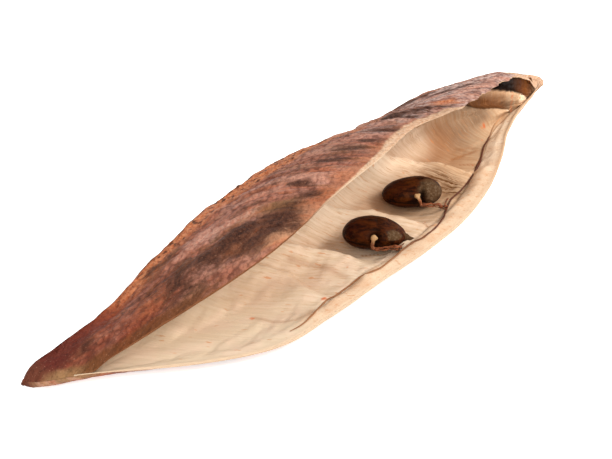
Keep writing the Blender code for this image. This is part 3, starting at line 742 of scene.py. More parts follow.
for i in range(I0 + 1, I1):
    for table_, j, k in ((wing_lip, 0, 1), (rim_lip, N_J, N_J - 1)):
        o, n = outer_moved[i, j], inner_moved[i, j]
        out = (o - outer_moved[i, k]) + (n - inner_moved[i, k])
        out = out / max(np.linalg.norm(out), 1e-9)
        p = (o + n) / 2 + out * 0.30 * np.linalg.norm(o - n)
        p[2] = max(p[2], FLOOR)
        table_[i] = add(p, (X[i, j], float(j), 90.0), (X[i, j] * 0.3, float(j), 90.0), inside=1.0, edge=1.0, pale=float(j == 0), skin=float(j > 0) * float(smooth(X[i, j], 27.0, 20.0)))

faces, slots = [], []


def face(slot, *corners):
    corners = [v for k, v in enumerate(corners) if v != corners[k - 1]]
    if len(corners) > 2:
        faces.append(corners)
        slots.append(slot)


for i in range(N_S - 1):
    for j in range(N_J):
        face(0, outer_id[i, j], outer_id[i, j + 1], outer_id[i + 1, j + 1], outer_id[i + 1, j])
for i in range(I0 + 1, I1 - 1):
    for j in range(N_J):
        face(1, inner_id[i, j], inner_id[i + 1, j], inner_id[i + 1, j + 1], inner_id[i, j + 1])
    face(1, outer_id[i, 0], outer_id[i + 1, 0], wing_lip[i + 1], wing_lip[i])
    face(1, wing_lip[i], wing_lip[i + 1], inner_id[i + 1, 0], inner_id[i, 0])
    face(1, outer_id[i, N_J], rim_lip[i], rim_lip[i + 1], outer_id[i + 1, N_J])
    face(1, rim_lip[i], inner_id[i, N_J], inner_id[i + 1, N_J], rim_lip[i + 1])
for i, near, flipped in ((I0, I0 + 1, False), (I1, I1 - 1, True)):
    seam = outer_id[i, 0]
    centre = outer_moved[i].mean(axis=0)
    root_p = outer_moved[i, 0] + (centre - outer_moved[i, 0]) * 0.35
    root = add(root_p, (X[i, 0], 0.0, 20.0), (X[i, 0], 0.0, 20.0), inside=1.0)
    tris = [(root, inner_id[near, j], inner_id[near, j + 1]) for j in range(N_J)]
    tris += [(seam, outer_id[near, 0], wing_lip[near]), (seam, wing_lip[near], inner_id[near, 0]), (seam, inner_id[near, 0], root)]
    tris += [(root, inner_id[near, N_J], seam), (seam, inner_id[near, N_J], rim_lip[near]), (seam, rim_lip[near], outer_id[near, N_J])]
    for t in tris:
        face(1, *(t[::-1] if flipped else t))
for i, s, flipped in ((0, -0.005, False), (N_S - 1, 1.0055, True)):
    ring = outer_moved[i, :-1]
    tip = add(np.array([s * POD_LENGTH, ring[:, 1].mean(), ring[:, 2].mean()]), (s * POD_LENGTH, 0.0, 0.0), (0.0, s * POD_LENGTH, 0.0), pale=float(flipped) * 0.85)
    for j in range(N_J):
        t = (tip, outer_id[i, j + 1], outer_id[i, j])
        face(0, *(t[::-1] if flipped else t))


def to_world(p):
    return (np.asarray(p, float) + SHIFT) * MM


def finish_mesh(name, verts, polys, slot_list, materials, floats=None, vectors=None, recalc=True):
    mesh = bpy.data.meshes.new(name)
    mesh.from_pydata([tuple(v) for v in verts], [], [tuple(int(k) for k in f) for f in polys])
    for m in materials:
        mesh.materials.append(m)
    if slot_list is not None:
        mesh.polygons.foreach_set("material_index", np.array(slot_list, np.int32))
    mesh.polygons.foreach_set("use_smooth", np.ones(len(mesh.polygons), bool))
    for key, values in (floats or {}).items():
        layer = mesh.attributes.new(key, "FLOAT", "POINT")
        layer.data.foreach_set("value", np.array(values, np.float32))
    for key, values in (vectors or {}).items():
        layer = mesh.attributes.new(key, "FLOAT_VECTOR", "POINT")
        layer.data.foreach_set("vector", np.array(values, np.float32).reshape(-1))
    mesh.update()
    if recalc:
        import bmesh

        bm = bmesh.new()
        bm.from_mesh(mesh)
        bmesh.ops.recalc_face_normals(bm, faces=bm.faces)
        bm.to_mesh(mesh)
        bm.free()
    obj = bpy.data.objects.new(name, mesh)
    bpy.context.scene.collection.objects.link(obj)
    return obj


# ------------------------------------------------------------------ materials
IN = 0.82  # the inside lies deeper in its own shade
SEED = 0.60  # the seeds are darker still
SEEN = 0.78  # the light makes the paper white all over, so skins are this much darker than they look


def lin(r, g, b, seen=SEEN):
    """An sRGB colour as it looks, 0 to 255, as the linear colour a shader takes."""
    out = []
    for c in (r, g, b):
        c /= 255
        out.append(seen * (c / 12.92 if c <= 0.04045 else ((c + 0.055) / 1.055) ** 2.4))
    return (*out, 1.0)


class Maker:
    """Builds one material's node tree."""

    def __init__(self, name, roughness=0.6, specular=0.4):
        self.mat = bpy.data.materials.new(name)
        self.mat.use_nodes = True
        self.tree = self.mat.node_tree
        self.shader = self.tree.nodes["Principled BSDF"]
        self.shader.inputs["Roughness"].default_value = roughness
        self.shader.inputs["Specular IOR Level"].default_value = specular
        self.seen = {}

    def node(self, kind, **props):
        n = self.tree.nodes.new(kind)
        for k, v in props.items():
            setattr(n, k, v)
        return n

    def put(self, socket, value):
        if isinstance(value, bpy.types.NodeSocket):
            self.tree.links.new(value, socket)
        elif value is not None:
            socket.default_value = value

    def attr(self, name, vector=False):
        key = (name, vector)
        if key not in self.seen:
            n = self.node("ShaderNodeAttribute", attribute_name=name)
            self.seen[key] = n.outputs["Vector" if vector else "Fac"]
        return self.seen[key]

    def scaled(self, vec, scale, shift=(0, 0, 0)):
        n = self.node("ShaderNodeMapping")
        self.put(n.inputs["Vector"], vec)
        n.inputs["Scale"].default_value = scale
        n.inputs["Location"].default_value = shift
        return n.outputs[0]

    def noise(self, vec, scale=1.0, detail=3.0, rough=0.5, distort=0.0):
        n = self.node("ShaderNodeTexNoise")
        self.put(n.inputs["Vector"], vec)
        n.inputs["Scale"].default_value = scale
        n.inputs["Detail"].default_value = detail
        n.inputs["Roughness"].default_value = rough
        n.inputs["Distortion"].default_value = distort
        return n.outputs["Fac"]

    def cells(self, vec, scale=1.0, feature="F1", rand=1.0):
        n = self.node("ShaderNodeTexVoronoi", feature=feature)
        self.put(n.inputs["Vector"], vec)
        n.inputs["Scale"].default_value = scale
        n.inputs["Randomness"].default_value = rand
        return n.outputs["Distance"]

    def ramp(self, value, low, high, to_low=0.0, to_high=1.0):
        n = self.node("ShaderNodeMapRange", interpolation_type="SMOOTHSTEP")
        self.put(n.inputs["Value"], value)
        n.inputs["From Min"].default_value = low
        n.inputs["From Max"].default_value = high
        n.inputs["To Min"].default_value = to_low
        n.inputs["To Max"].default_value = to_high
        return n.outputs["Result"]

    def maths(self, op, a, b=0.0, clamp=False):
        n = self.node("ShaderNodeMath", operation=op, use_clamp=clamp)
        self.put(n.inputs[0], a)
        self.put(n.inputs[1], b)
        return n.outputs[0]

    def mix(self, share, a, b, blend="MIX"):
        n = self.node("ShaderNodeMix", data_type="RGBA", blend_type=blend)
        self.put(n.inputs["Factor"], share)
        self.put(n.inputs["A"], a)
        self.put(n.inputs["B"], b)
        return n.outputs["Result"]

    def bump(self, height, strength, distance, under=None):
        n = self.node("ShaderNodeBump")
        self.put(n.inputs["Height"], height)
        n.inputs["Strength"].default_value = strength
        n.inputs["Distance"].default_value = distance
        if under is not None:
            self.put(n.inputs["Normal"], under)
        return n.outputs[0]


def outside_material():
    m = Maker("pod_outside", 0.66, 0.12)
    where, grain = m.attr("where", True), m.attr("grain", True)
    split = m.node("ShaderNodeSeparateXYZ")
    m.put(split.inputs[0], where)
    x = split.outputs[0]
    big = m.noise(m.scaled(grain, (0.36, 0.16, 1.0)), 1.0, 4.0, 0.6, 0.8)
    mid = m.noise(m.scaled(grain, (0.85, 0.42, 1.0), (3, 9, 0)), 1.0, 5.0, 0.65, 1.0)
    other = m.noise(m.scaled(grain, (0.95, 0.46, 1.0), (8, 2, 0)), 1.0, 5.0, 0.65, 1.0)
    streak = m.noise(m.scaled(grain, (1.8, 0.80, 1.0)), 1.0, 5.0, 0.68, 0.8)
    fine = m.noise(m.scaled(where, (3.6, 3.0, 1.0), (2, 6, 0)), 1.0, 4.0, 0.65)
    grit_ = m.noise(m.scaled(where, (8.0, 8.0, 1.0)), 1.0, 3.0, 0.6)
    # red-brown and mauve-brown skin with ochre and orange patches
    colour = m.mix(m.ramp(big, 0.40, 0.62), lin(162, 94, 70), lin(196, 142, 124))
    colour = m.mix(m.ramp(mid, 0.50, 0.66, 0.0, 0.55), colour, lin(176, 132, 96))
    colour = m.mix(m.ramp(other, 0.50, 0.66, 0.0, 0.60), colour, lin(194, 110, 72))
    near = m.mix(m.ramp(big, 0.38, 0.62), lin(120, 54, 37), lin(170, 95, 67))
    colour = m.mix(m.ramp(x, 17.0, 6.0, 0.0, 0.92), colour, near)
    far = m.mix(m.ramp(mid, 0.40, 0.60), lin(174, 126, 110), lin(230, 202, 192))
    colour = m.mix(m.ramp(x, 28.0, 44.0, 0.0, 0.85), colour, far)
    # painted highlight: the wrinkles' crests are lighter
    ridge = m.maths("MULTIPLY", m.ramp(m.maths("ADD", m.attr("wrinkle"), m.maths("MULTIPLY", streak, 0.8)), 0.45, 1.05), m.ramp(x, 8.0, 24.0, 0.22, 0.55))
    colour = m.mix(ridge, colour, lin(202, 144, 120))
    colour = m.mix(m.ramp(streak, 0.48, 0.34, 0.0, 0.50), colour, lin(100, 54, 38))
    pebble = m.cells(m.scaled(where, (2.2, 2.6, 1.0), (1, 5, 0)), 1.0)
    colour = m.mix(m.ramp(pebble, 0.42, 0.80, 0.0, 0.55), colour, lin(84, 42, 30))
    colour = m.mix(m.ramp(pebble, 0.28, 0.05, 0.0, 0.22), colour, lin(222, 166, 140))
    ochre = m.ramp(m.maths("ADD", m.attr("ochre"), m.maths("MULTIPLY", m.maths("SUBTRACT", streak, 0.5), 1.0)), 0.15, 0.95, 0.0, 0.85)
    colour = m.mix(ochre, colour, m.mix(fine, lin(142, 104, 62), lin(166, 130, 92)))
    # rose: painted highlight bands and the outline's glow, and the skin's rose patches round the back
    rose = m.ramp(m.maths("ADD", m.attr("rose"), m.maths("MULTIPLY", m.maths("SUBTRACT", streak, 0.5), 1.2)), 0.15, 1.0, 0.0, 0.75)
    colour = m.mix(rose, colour, m.mix(m.ramp(fine, 0.38, 0.6), lin(196, 130, 108), lin(230, 178, 156)))
    # the broad dark bands, partly painted shade
    dusky = m.ramp(m.maths("ADD", m.attr("dusky"), m.maths("MULTIPLY", m.maths("SUBTRACT", mid, 0.5), 1.2)), 0.06, 0.66, 0.0, 0.88)
    colour = m.mix(dusky, colour, m.mix(m.ramp(streak, 0.4, 0.6), lin(66, 34, 20), lin(108, 64, 40)))
    # the tip's red top and the brown under the rim
    ruddy = m.ramp(m.maths("ADD", m.attr("ruddy"), m.maths("MULTIPLY", m.maths("SUBTRACT", streak, 0.5), 0.8)), 0.15, 0.95, 0.0, 0.85)
    colour = m.mix(ruddy, colour, m.mix(m.ramp(x, 3.0, 10.0), lin(92, 31, 23), lin(142, 60, 35)))
    under = m.ramp(m.maths("ADD", m.attr("under"), m.maths("MULTIPLY", m.maths("SUBTRACT", streak, 0.5), 0.8)), 0.15, 0.95, 0.0, 0.9)
    colour = m.mix(under, colour, m.mix(fine, lin(86, 46, 18), lin(124, 72, 36)))
    # warm orange patches, the suture's band and the rim
    warm = m.ramp(m.maths("ADD", m.attr("warm"), m.maths("MULTIPLY", m.maths("SUBTRACT", streak, 0.5), 1.1)), 0.10, 1.0, 0.0, 0.9)
    warm_colour = m.mix(m.ramp(fine, 0.38, 0.60), lin(184, 98, 54), lin(218, 142, 98))
    warm_colour = m.mix(m.ramp(x, 12.5, 7.0), warm_colour, m.mix(m.ramp(fine, 0.38, 0.60), lin(134, 58, 30), lin(172, 84, 46)))
    colour = m.mix(warm, colour, warm_colour)
    rimmed = m.ramp(m.maths("ADD", m.attr("line"), m.maths("MULTIPLY", m.maths("SUBTRACT", mid, 0.5), 1.4)), 0.12, 1.05, 0.0, 0.75)
    colour = m.mix(rimmed, colour, m.mix(m.ramp(x, 19.5, 24.0), m.mix(m.ramp(mid, 0.4, 0.6), lin(196, 130, 94), lin(224, 166, 128)), m.mix(m.ramp(mid, 0.4, 0.6), lin(164, 98, 66), lin(194, 128, 96))))
    # dark blotches, broken up
    eaten = m.maths("ADD", m.maths("MULTIPLY", m.attr("dark"), 1.20), m.maths("MULTIPLY", m.maths("SUBTRACT", streak, 0.5), 1.7))
    eaten = m.maths("ADD", eaten, m.maths("MULTIPLY", m.maths("SUBTRACT", mid, 0.5), 1.5))
    eaten = m.maths("ADD", eaten, m.maths("MULTIPLY", m.maths("SUBTRACT", fine, 0.5), 1.0))
    colour = m.mix(m.ramp(eaten, 0.22, 1.00, 0.0, 0.90), colour, m.mix(m.ramp(fine, 0.4, 0.6), lin(52, 26, 18), lin(92, 54, 38)))
    # dark specks, densest on the suture's band
    dots = m.ramp(m.noise(m.scaled(where, (1.7, 2.4, 1.0), (3, 1, 0)), 1.0, 3.0, 0.6), 0.53, 0.62)
    dense = m.maths("MULTIPLY", dots, m.maths("ADD", m.maths("MULTIPLY", m.attr("spot"), 0.75), 0.18))
    colour = m.mix(dense, colour, lin(66, 34, 24))
    pale = m.ramp(m.maths("ADD", m.attr("pale"), m.maths("MULTIPLY", m.maths("SUBTRACT", fine, 0.5), 0.5)), 0.15, 0.85, 0.0, 0.92)
    pale_near = m.mix(m.ramp(fine, 0.35, 0.65), lin(216, 176, 142), lin(234, 204, 174))
    pale_far = m.mix(m.ramp(fine, 0.35, 0.65), lin(210, 160, 124), lin(236, 200, 168))
    colour = m.mix(pale, colour, m.mix(m.ramp(x, 26.0, 42.0), pale_near, pale_far))
    colour = m.mix(m.ramp(grit_, 0.42, 0.30, 0.0, 0.35), colour, lin(84, 48, 36))
    colour = m.mix(m.ramp(grit_, 0.60, 0.72, 0.0, 0.30), colour, lin(222, 170, 140))
    m.put(m.shader.inputs["Base Color"], colour)
    m.put(m.shader.inputs["Roughness"], m.ramp(streak, 0.3, 0.7, 0.52, 0.76))
    rough = m.bump(streak, 0.8, 0.00024)
    rough = m.bump(m.maths("SUBTRACT", 1.0, pebble), 0.6, 0.00020, rough)
    rough = m.bump(fine, 0.75, 0.00016, rough)
    rough = m.bump(grit_, 0.5, 0.00006, rough)
    rough = m.bump(m.cells(m.scaled(where, (1.0, 1.0, 1.0)), 3.4), 0.3, 0.00008, rough)
    m.put(m.shader.inputs["Normal"], rough)
    return m.mat


def inside_material():
    m = Maker("pod_inside", 0.60, 0.10)
    where, grain = m.attr("where", True), m.attr("grain", True)
    split = m.node("ShaderNodeSeparateXYZ")
    m.put(split.inputs[0], where)
    x = split.outputs[0]
    fibre = m.noise(m.scaled(grain, (3.4, 0.25, 1.0)), 1.0, 4.0, 0.62)
    hair = m.noise(m.scaled(grain, (10.0, 0.7, 1.0)), 1.0, 4.0, 0.65)
    crisp = m.ramp(x, 13.0, 27.0, 0.25, 1.0)
    cloud = m.noise(m.scaled(where, (0.45, 0.55, 1.0)), 1.0, 4.0, 0.6)
    grit_ = m.noise(m.scaled(where, (7.0, 7.0, 1.0)), 1.0, 3.0, 0.6)
    colour = m.mix(m.ramp(fibre, 0.34, 0.66), lin(216, 190, 160, IN), lin(234, 213, 190, IN))
    colour = m.mix(m.maths("SUBTRACT", 1.0, crisp), colour, lin(222, 200, 172, IN))
    colour = m.mix(m.ramp(cloud, 0.44, 0.62, 0.0, 0.55), colour, lin(230, 202, 178, IN))
    colour = m.mix(m.ramp(x, 28.0, 44.0, 0.0, 0.85), colour, m.mix(m.ramp(fibre, 0.34, 0.66), lin(206, 162, 122, IN), lin(220, 184, 146, IN)))
    # painted light: the inside under the roof's edge is lightened, against the roof's shade
    colour = m.mix(m.maths("MULTIPLY", m.attr("wrinkle"), m.ramp(x, 31.0, 42.0, 0.50, 0.80)), colour, m.mix(m.ramp(x, 37.0, 42.0), m.mix(m.ramp(fibre, 0.34, 0.66), lin(206, 188, 166, 0.84), lin(222, 206, 186, 0.84)), m.mix(m.ramp(fibre, 0.34, 0.66), lin(232, 204, 174, 0.98), lin(246, 224, 200, 0.98))))
    # painted shade on the chamber floors: tan near the beak, browner farther on, near black in the far chambers
    shaded = m.mix(m.ramp(x, 24.0, 40.0), m.mix(m.ramp(fibre, 0.3, 0.7), lin(186, 150, 120, IN), lin(206, 171, 142, IN)), m.mix(m.ramp(fibre, 0.3, 0.7), lin(150, 102, 66, IN), lin(166, 118, 80, IN)))
    deep = m.mix(m.ramp(fibre, 0.3, 0.7), lin(62, 34, 16, IN), lin(88, 54, 30, IN))
    shaded = m.mix(m.ramp(x, 48.0, 52.5), shaded, deep)
    colour = m.mix(m.maths("MULTIPLY", m.maths("MULTIPLY", m.attr("shade"), m.ramp(x, 51.5, 54.5, 1.0, 1.25)), m.ramp(x, 25.0, 42.0, 0.70, 0.97), clamp=True), colour, shaded)
    colour = m.mix(m.maths("MULTIPLY", crisp, m.ramp(hair, 0.47, 0.33, 0.0, 0.60)), colour, lin(184, 128, 82, IN))
    colour = m.mix(m.maths("MULTIPLY", crisp, m.ramp(hair, 0.60, 0.74, 0.0, 0.30)), colour, lin(244, 222, 194, IN))
    # the wing's band: peach with orange freckles and streaks
    band = m.ramp(m.maths("ADD", m.attr("pale"), m.maths("MULTIPLY", m.maths("SUBTRACT", fibre, 0.5), 0.3)), 0.3, 0.7)
    peach = m.mix(m.ramp(cloud, 0.35, 0.65), lin(236, 208, 178, IN), lin(226, 188, 154, IN))
    # painted light: toward the far end the band is made paler, against the shade it lies in
    peach = m.mix(m.ramp(x, 44.0, 54.0), peach, m.mix(m.ramp(cloud, 0.35, 0.65), lin(250, 228, 202, 0.98), lin(244, 214, 182, 0.98)))
    freckle = m.ramp(m.noise(m.scaled(where, (2.4, 1.5, 1.0)), 1.0, 4.0, 0.65), 0.54, 0.66, 0.0, 0.55)
    peach = m.mix(freckle, peach, lin(208, 138, 88, IN))
    peach = m.mix(m.ramp(grit_, 0.46, 0.34, 0.0, 0.4), peach, lin(204, 146, 100, IN))
    colour = m.mix(m.maths("MULTIPLY", band, 0.92), colour, peach)
    # loose orange flecks, brown fold lines with two broad strokes of painted shade, spots
    flecks = m.ramp(m.noise(m.scaled(grain, (2.6, 0.9, 1.0), (5, 2, 0)), 1.0, 2.0, 0.5), 0.66, 0.74, 0.0, 0.6)
    colour = m.mix(flecks, colour, lin(206, 132, 78, IN))
    line = m.maths("MULTIPLY", m.maths("MULTIPLY", m.attr("line"), m.ramp(x, 16.0, 24.0, 0.55, 1.0)), m.ramp(fibre, 0.2, 0.6, 0.6, 1.0))
    colour = m.mix(line, colour, lin(152, 92, 46, IN))
    spot = m.ramp(m.maths("ADD", m.attr("spot"), m.maths("MULTIPLY", m.maths("SUBTRACT", hair, 0.5), 0.5)), 0.3, 0.85, 0.0, 0.85)
    colour = m.mix(spot, colour, lin(208, 104, 50, IN))
    # the pit and the patch by the far seed: dark fibres, partly painted shade
    pit = m.maths("MULTIPLY", m.attr("dark"), m.ramp(m.maths("ADD", m.maths("MULTIPLY", fibre, 0.5), m.maths("MULTIPLY", hair, 0.5)), 0.62, 0.42, 0.35, 1.0))
    colour = m.mix(pit, colour, lin(98, 58, 22, IN))
    edge = m.ramp(m.maths("ADD", m.attr("edge"), m.maths("MULTIPLY", m.maths("SUBTRACT", hair, 0.5), 0.5)), 0.35, 0.95, 0.0, 0.70)
    colour = m.mix(edge, colour, m.mix(m.ramp(x, 42.0, 48.0), lin(226, 198, 168, IN), lin(214, 170, 130, IN)))
    colour = m.mix(m.attr("skin"), colour, m.mix(m.ramp(fibre, 0.35, 0.65), lin(104, 60, 32, IN), lin(150, 98, 64, IN)))
    # painted shade: the hood's inside, near black deep under the roof and brown toward its end
    dusk = m.mix(m.ramp(x, 61.0, 64.6), lin(32, 15, 6, 0.70), m.mix(m.ramp(fibre, 0.35, 0.65), lin(122, 62, 22, 0.70), lin(150, 88, 40, 0.70)))
    colour = m.mix(m.attr("pocket"), colour, dusk)
    m.put(m.shader.inputs["Base Color"], colour)
    m.put(m.shader.inputs["Roughness"], m.ramp(fibre, 0.3, 0.7, 0.48, 0.68))
    rough = m.bump(fibre, 0.6, 0.00010)
    rough = m.bump(hair, 0.5, 0.00005, rough)
    rough = m.bump(grit_, 0.35, 0.00004, rough)
    m.put(m.shader.inputs["Normal"], rough)
    return m.mat


def seed_material():
    m = Maker("seed_coat", 0.46, 0.05)
    m.shader.inputs["Specular Tint"].default_value = (1.0, 0.82, 0.66, 1.0)
    where = m.attr("where", True)
    streak = m.noise(m.scaled(where, (0.55, 3.2, 3.2)), 1.0, 5.0, 0.65, 0.6)
    mottle = m.noise(m.scaled(where, (1.3, 1.6, 1.6), (4, 4, 4)), 1.0, 4.0, 0.6)
    dust = m.noise(m.scaled(where, (5.0, 5.0, 5.0), (1, 2, 3)), 1.0, 4.0, 0.7)
    colour = m.mix(m.ramp(streak, 0.40, 0.62), lin(34, 10, 4, SEED), lin(82, 36, 10, SEED))
    colour = m.mix(m.ramp(mottle, 0.50, 0.66, 0.0, 0.7), colour, lin(96, 48, 14, SEED))
    colour = m.mix(m.ramp(mottle, 0.46, 0.32, 0.0, 0.8), colour, lin(24, 8, 6, SEED))
    # painted sheen: the plum tint over the back end's top
    colour = m.mix(m.maths("MULTIPLY", m.attr("plum"), 0.40), colour, lin(62, 26, 24, SEED))
    # the grey patch: partly the coat's bloom, partly painted sheen
    grey = m.ramp(m.maths("ADD", m.attr("grey"), m.maths("MULTIPLY", m.maths("SUBTRACT", mottle, 0.5), 0.9)), 0.12, 1.05, 0.0, 0.85)
    colour = m.mix(grey, colour, m.mix(m.ramp(dust, 0.42, 0.68), lin(92, 66, 42, SEED), lin(128, 104, 80, SEED)))
    # light specks, partly the coat's own and partly painted glints
    colour = m.mix(m.ramp(dust, 0.66, 0.76, 0.0, 0.35), colour, lin(150, 116, 80, SEED))
    colour = m.mix(m.attr("scar"), colour, lin(22, 9, 4, SEED))
    m.put(m.shader.inputs["Base Color"], colour)
    m.put(m.shader.inputs["Roughness"], m.maths("ADD", m.ramp(streak, 0.3, 0.7, 0.32, 0.50), m.maths("MULTIPLY", grey, 0.2)))
    rough = m.bump(streak, 0.35, 0.00005)
    rough = m.bump(dust, 0.40, 0.00004, rough)
    m.put(m.shader.inputs["Normal"], rough)
    return m.mat


def stalk_material(name, dark, light, knob):
    m = Maker(name, 0.6, 0.3)
    where = m.attr("where", True)
    fibre = m.noise(m.scaled(where, (1.0, 2.6, 1.0)), 1.6, 4.0, 0.6)
    blotch = m.noise(m.scaled(where, (1.6, 0.5, 1.0), (2, 0, 0)), 1.0, 3.0, 0.6)
    colour = m.mix(m.ramp(fibre, 0.35, 0.65), dark, light)
    colour = m.mix(m.ramp(blotch, 0.48, 0.36, 0.0, 0.6), colour, lin(64, 34, 20, 0.70))
    colour = m.mix(m.attr("knob"), colour, m.mix(fibre, knob, lin(168, 118, 76, 0.70)))
    colour = m.mix(m.attr("fade"), colour, m.mix(fibre, lin(222, 178, 136, 0.9), lin(196, 146, 102, 0.9)))
    m.put(m.shader.inputs["Base Color"], colour)
    m.put(m.shader.inputs["Roughness"], m.ramp(fibre, 0.3, 0.7, 0.5, 0.7))
    m.put(m.shader.inputs["Normal"], m.bump(fibre, 0.5, 0.00006))
    return m.mat


outside, inside = outside_material(), inside_material()
shell = finish_mesh(
    "pod_shell_grown", [to_world(p) for p in points], faces, slots, [outside, inside],
    floats={k: v for k, v in fields.items() if k not in ("where", "grain")},
    vectors={"where": fields["where"], "grain": fields["grain"]},
)
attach(shell, "root")
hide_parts("pod_shell")

# ------------------------------------------------------------------ the seeds
coat_mat = seed_material()


def seed(name, node, x, y, heading, roll, size, notch, profile, bloom, flap=False):
    """A bean on its side, notched at the hilum, its two lobes parted by a shallow groove."""
    nu, nv = 104, 132
    theta = np.linspace(0, np.pi, nu + 1)[1:-1]
    phi = np.linspace(0, 2 * np.pi, nv, endpoint=False)
    rows_ = np.column_stack([-np.cos(theta), np.sin(theta)])
    v = np.array([(-1.0, 0.0, 0.0)] + [(a, b * math.cos(f), b * math.sin(f)) for a, b in rows_ for f in phi] + [(1.0, 0.0, 0.0)])
    px, py, pz = v[:, 0].copy(), v[:, 1].copy(), v[:, 2].copy()
    angle = np.degrees(np.arctan2(pz, -py))  # 0 at the front, 90 on top
    # squarer ends than an ellipsoid's
    full = np.clip((1 - np.abs(px) ** 2.45) ** 0.5 / np.maximum((1 - px**2) ** 0.5, 1e-4), 0.0, 1.4)
    py, pz = py * full, pz * full
    stations_, widths, heights, drops = profile
    py = py * np.interp(px, stations_, widths)
    pz = pz * np.interp(px, stations_, heights) + np.interp(px, stations_, drops)
    front = np.clip(-v[:, 1], 0, 1)
    dent = np.exp(-(((px - notch - 0.03) / 0.13) ** 2)) * smooth(front, 0.45, 1.0) * smooth(angle, 48, 8)
    shoulder = np.exp(-(((px - notch - 0.36) / 0.24) ** 2)) * smooth(front, 0.3, 1.0)
    py = py + 0.20 * dent - 0.06 * shoulder + 0.08 * (1 - px**2) - 0.04
    lobe = notch + 0.07 + 0.05 * np.sin(np.radians(angle) * 2)
    groove = np.exp(-(((px - lobe) / 0.045) ** 2)) * smooth(angle, -60, -10) * smooth(angle, 150, 90)
    seam = np.exp(-(((angle + 24 + 5 * np.sin(px * 3)) / 5.0) ** 2)) * smooth(px, -0.92, -0.7) * smooth(px, notch, notch - 0.25)
    n1 = fbm(px * 1.6 + 7 * notch, py * 1.6, pz * 1.6, 3, 91)
    n2 = fbm(px * 3.0 + 3 * notch, py * 9.0, pz * 9.0, 3, 93)
    n3 = fbm(px * 9.0 + 3 * notch, py * 9.0, pz * 9.0, 2, 95)
    grow = 1.0 + 0.022 * n1 + 0.010 * n2 + 0.005 * n3 - 0.010 * groove - 0.020 * seam
    half = np.array(size) / 2
    local = np.column_stack([px, py, pz]) * half * grow[:, None]
    h, tilt = math.radians(heading), math.radians(roll)
    along_ = np.array([math.cos(h), math.sin(h), 0.0])
    d = 1.2
    slope = (valve_height(x + d * along_[0], y + d * along_[1]) - valve_height(x - d * along_[0], y - d * along_[1])) / (2 * d)
    along_ = np.array([along_[0], along_[1], 0.4 * slope])
    along_ /= np.linalg.norm(along_)
    across_ = np.cross([0, 0, 1.0], along_)
    across_ /= np.linalg.norm(across_)
    up = np.cross(along_, across_)
    side2 = across_ * math.cos(tilt) + up * math.sin(tilt)
    up2 = -across_ * math.sin(tilt) + up * math.cos(tilt)
    world = local[:, :1] * along_ + local[:, 1:2] * side2 + local[:, 2:3] * up2
    world[:, 0] += x
    world[:, 1] += y
    clear = min(world[k, 2] - valve_height(world[k, 0], world[k, 1]) for k in range(0, len(world), 5) if local[k, 2] < 0)
    rise = 0.01 - clear
    world[:, 2] += rise
    polys = []
    for j in range(nv):
        polys.append((0, 1 + (j + 1) % nv, 1 + j))
        polys.append((len(v) - 1, 1 + (nu - 2) * nv + j, 1 + (nu - 2) * nv + (j + 1) % nv))
    for i in range(nu - 2):
        for j in range(nv):
            a, b = 1 + i * nv + j, 1 + i * nv + (j + 1) % nv
            polys.append((a, b, b + nv, a + nv))
    # the grey patch is partly the coat's bloom and partly painted sheen
    bx, ba, bw, bh = bloom  # a grey bloom on the lobe that faces the light: its middle and reach
    away = ((px - bx) / bw) ** 2 + ((angle - ba) / bh) ** 2 + 0.5 * n1
    grey = smooth(away, 1.5, 0.25)
    # painted sheen: a plum tint over the top of the back end
    plum = smooth(px, 0.1, -0.9) * smooth(pz, -0.2, 0.6)
    scar = np.clip(0.8 * dent + 0.30 * groove + 0.9 * seam, 0, 1)
    where = local + 11.0 * notch + 3.0
    centre = np.array([x, y, rise])

    def at(a, b, c):
        """A place on or by the seed, in its own half lengths."""
        return centre + a * half[0] * along_ + b * half[1] * side2 + c * half[2] * up2

    if flap:
        # a torn, pointed scrap of the coat's skirt at the end nearest the strand
        nf, mf = 14, 8
        base = len(world)
        extra, where2 = [], []
        for i in range(nf + 1):
            u_ = i / nf
            reach_ = (1 - u_) ** 0.8
            mid = np.array([0.80 + 0.46 * u_, -0.24 + 0.04 * u_, -0.02 - 0.20 * u_])
            for j in range(mf):
                a = 2 * math.pi * j / mf
                q = at(mid[0] + 0.01 * math.cos(a), mid[1] + 0.10 * reach_ * math.cos(a), mid[2] + 0.40 * reach_ * math.sin(a) + 0.03 * math.sin(5 * u_ * 3))
                extra.append(q)
                where2.append((u_ * 2.0 + 9, math.cos(a), math.sin(a) * 2))
        for i in range(nf):
            for j in range(mf):
                a, b = base + i * mf + j, base + i * mf + (j + 1) % mf
                polys.append((a, b, b + mf, a + mf))
        for i, flip_ in ((0, 1), (nf, 0)):
            ring_ = [base + i * mf + j for j in range(mf)]
            polys.append(tuple(ring_[::-1] if flip_ else ring_))
        world = np.vstack([world, extra])
        where = np.vstack([where, where2])
        grey = np.concatenate([grey, np.full(len(extra), 0.85)])
        plum = np.concatenate([plum, np.zeros(len(extra))])
        scar = np.concatenate([scar, np.zeros(len(extra))])
    obj = finish_mesh(name, [to_world(p) for p in world], polys, None, [coat_mat], floats={"grey": grey, "plum": plum, "scar": scar}, vectors={"where": where})
    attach(obj, "root")
    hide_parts(node)
    return at, side2


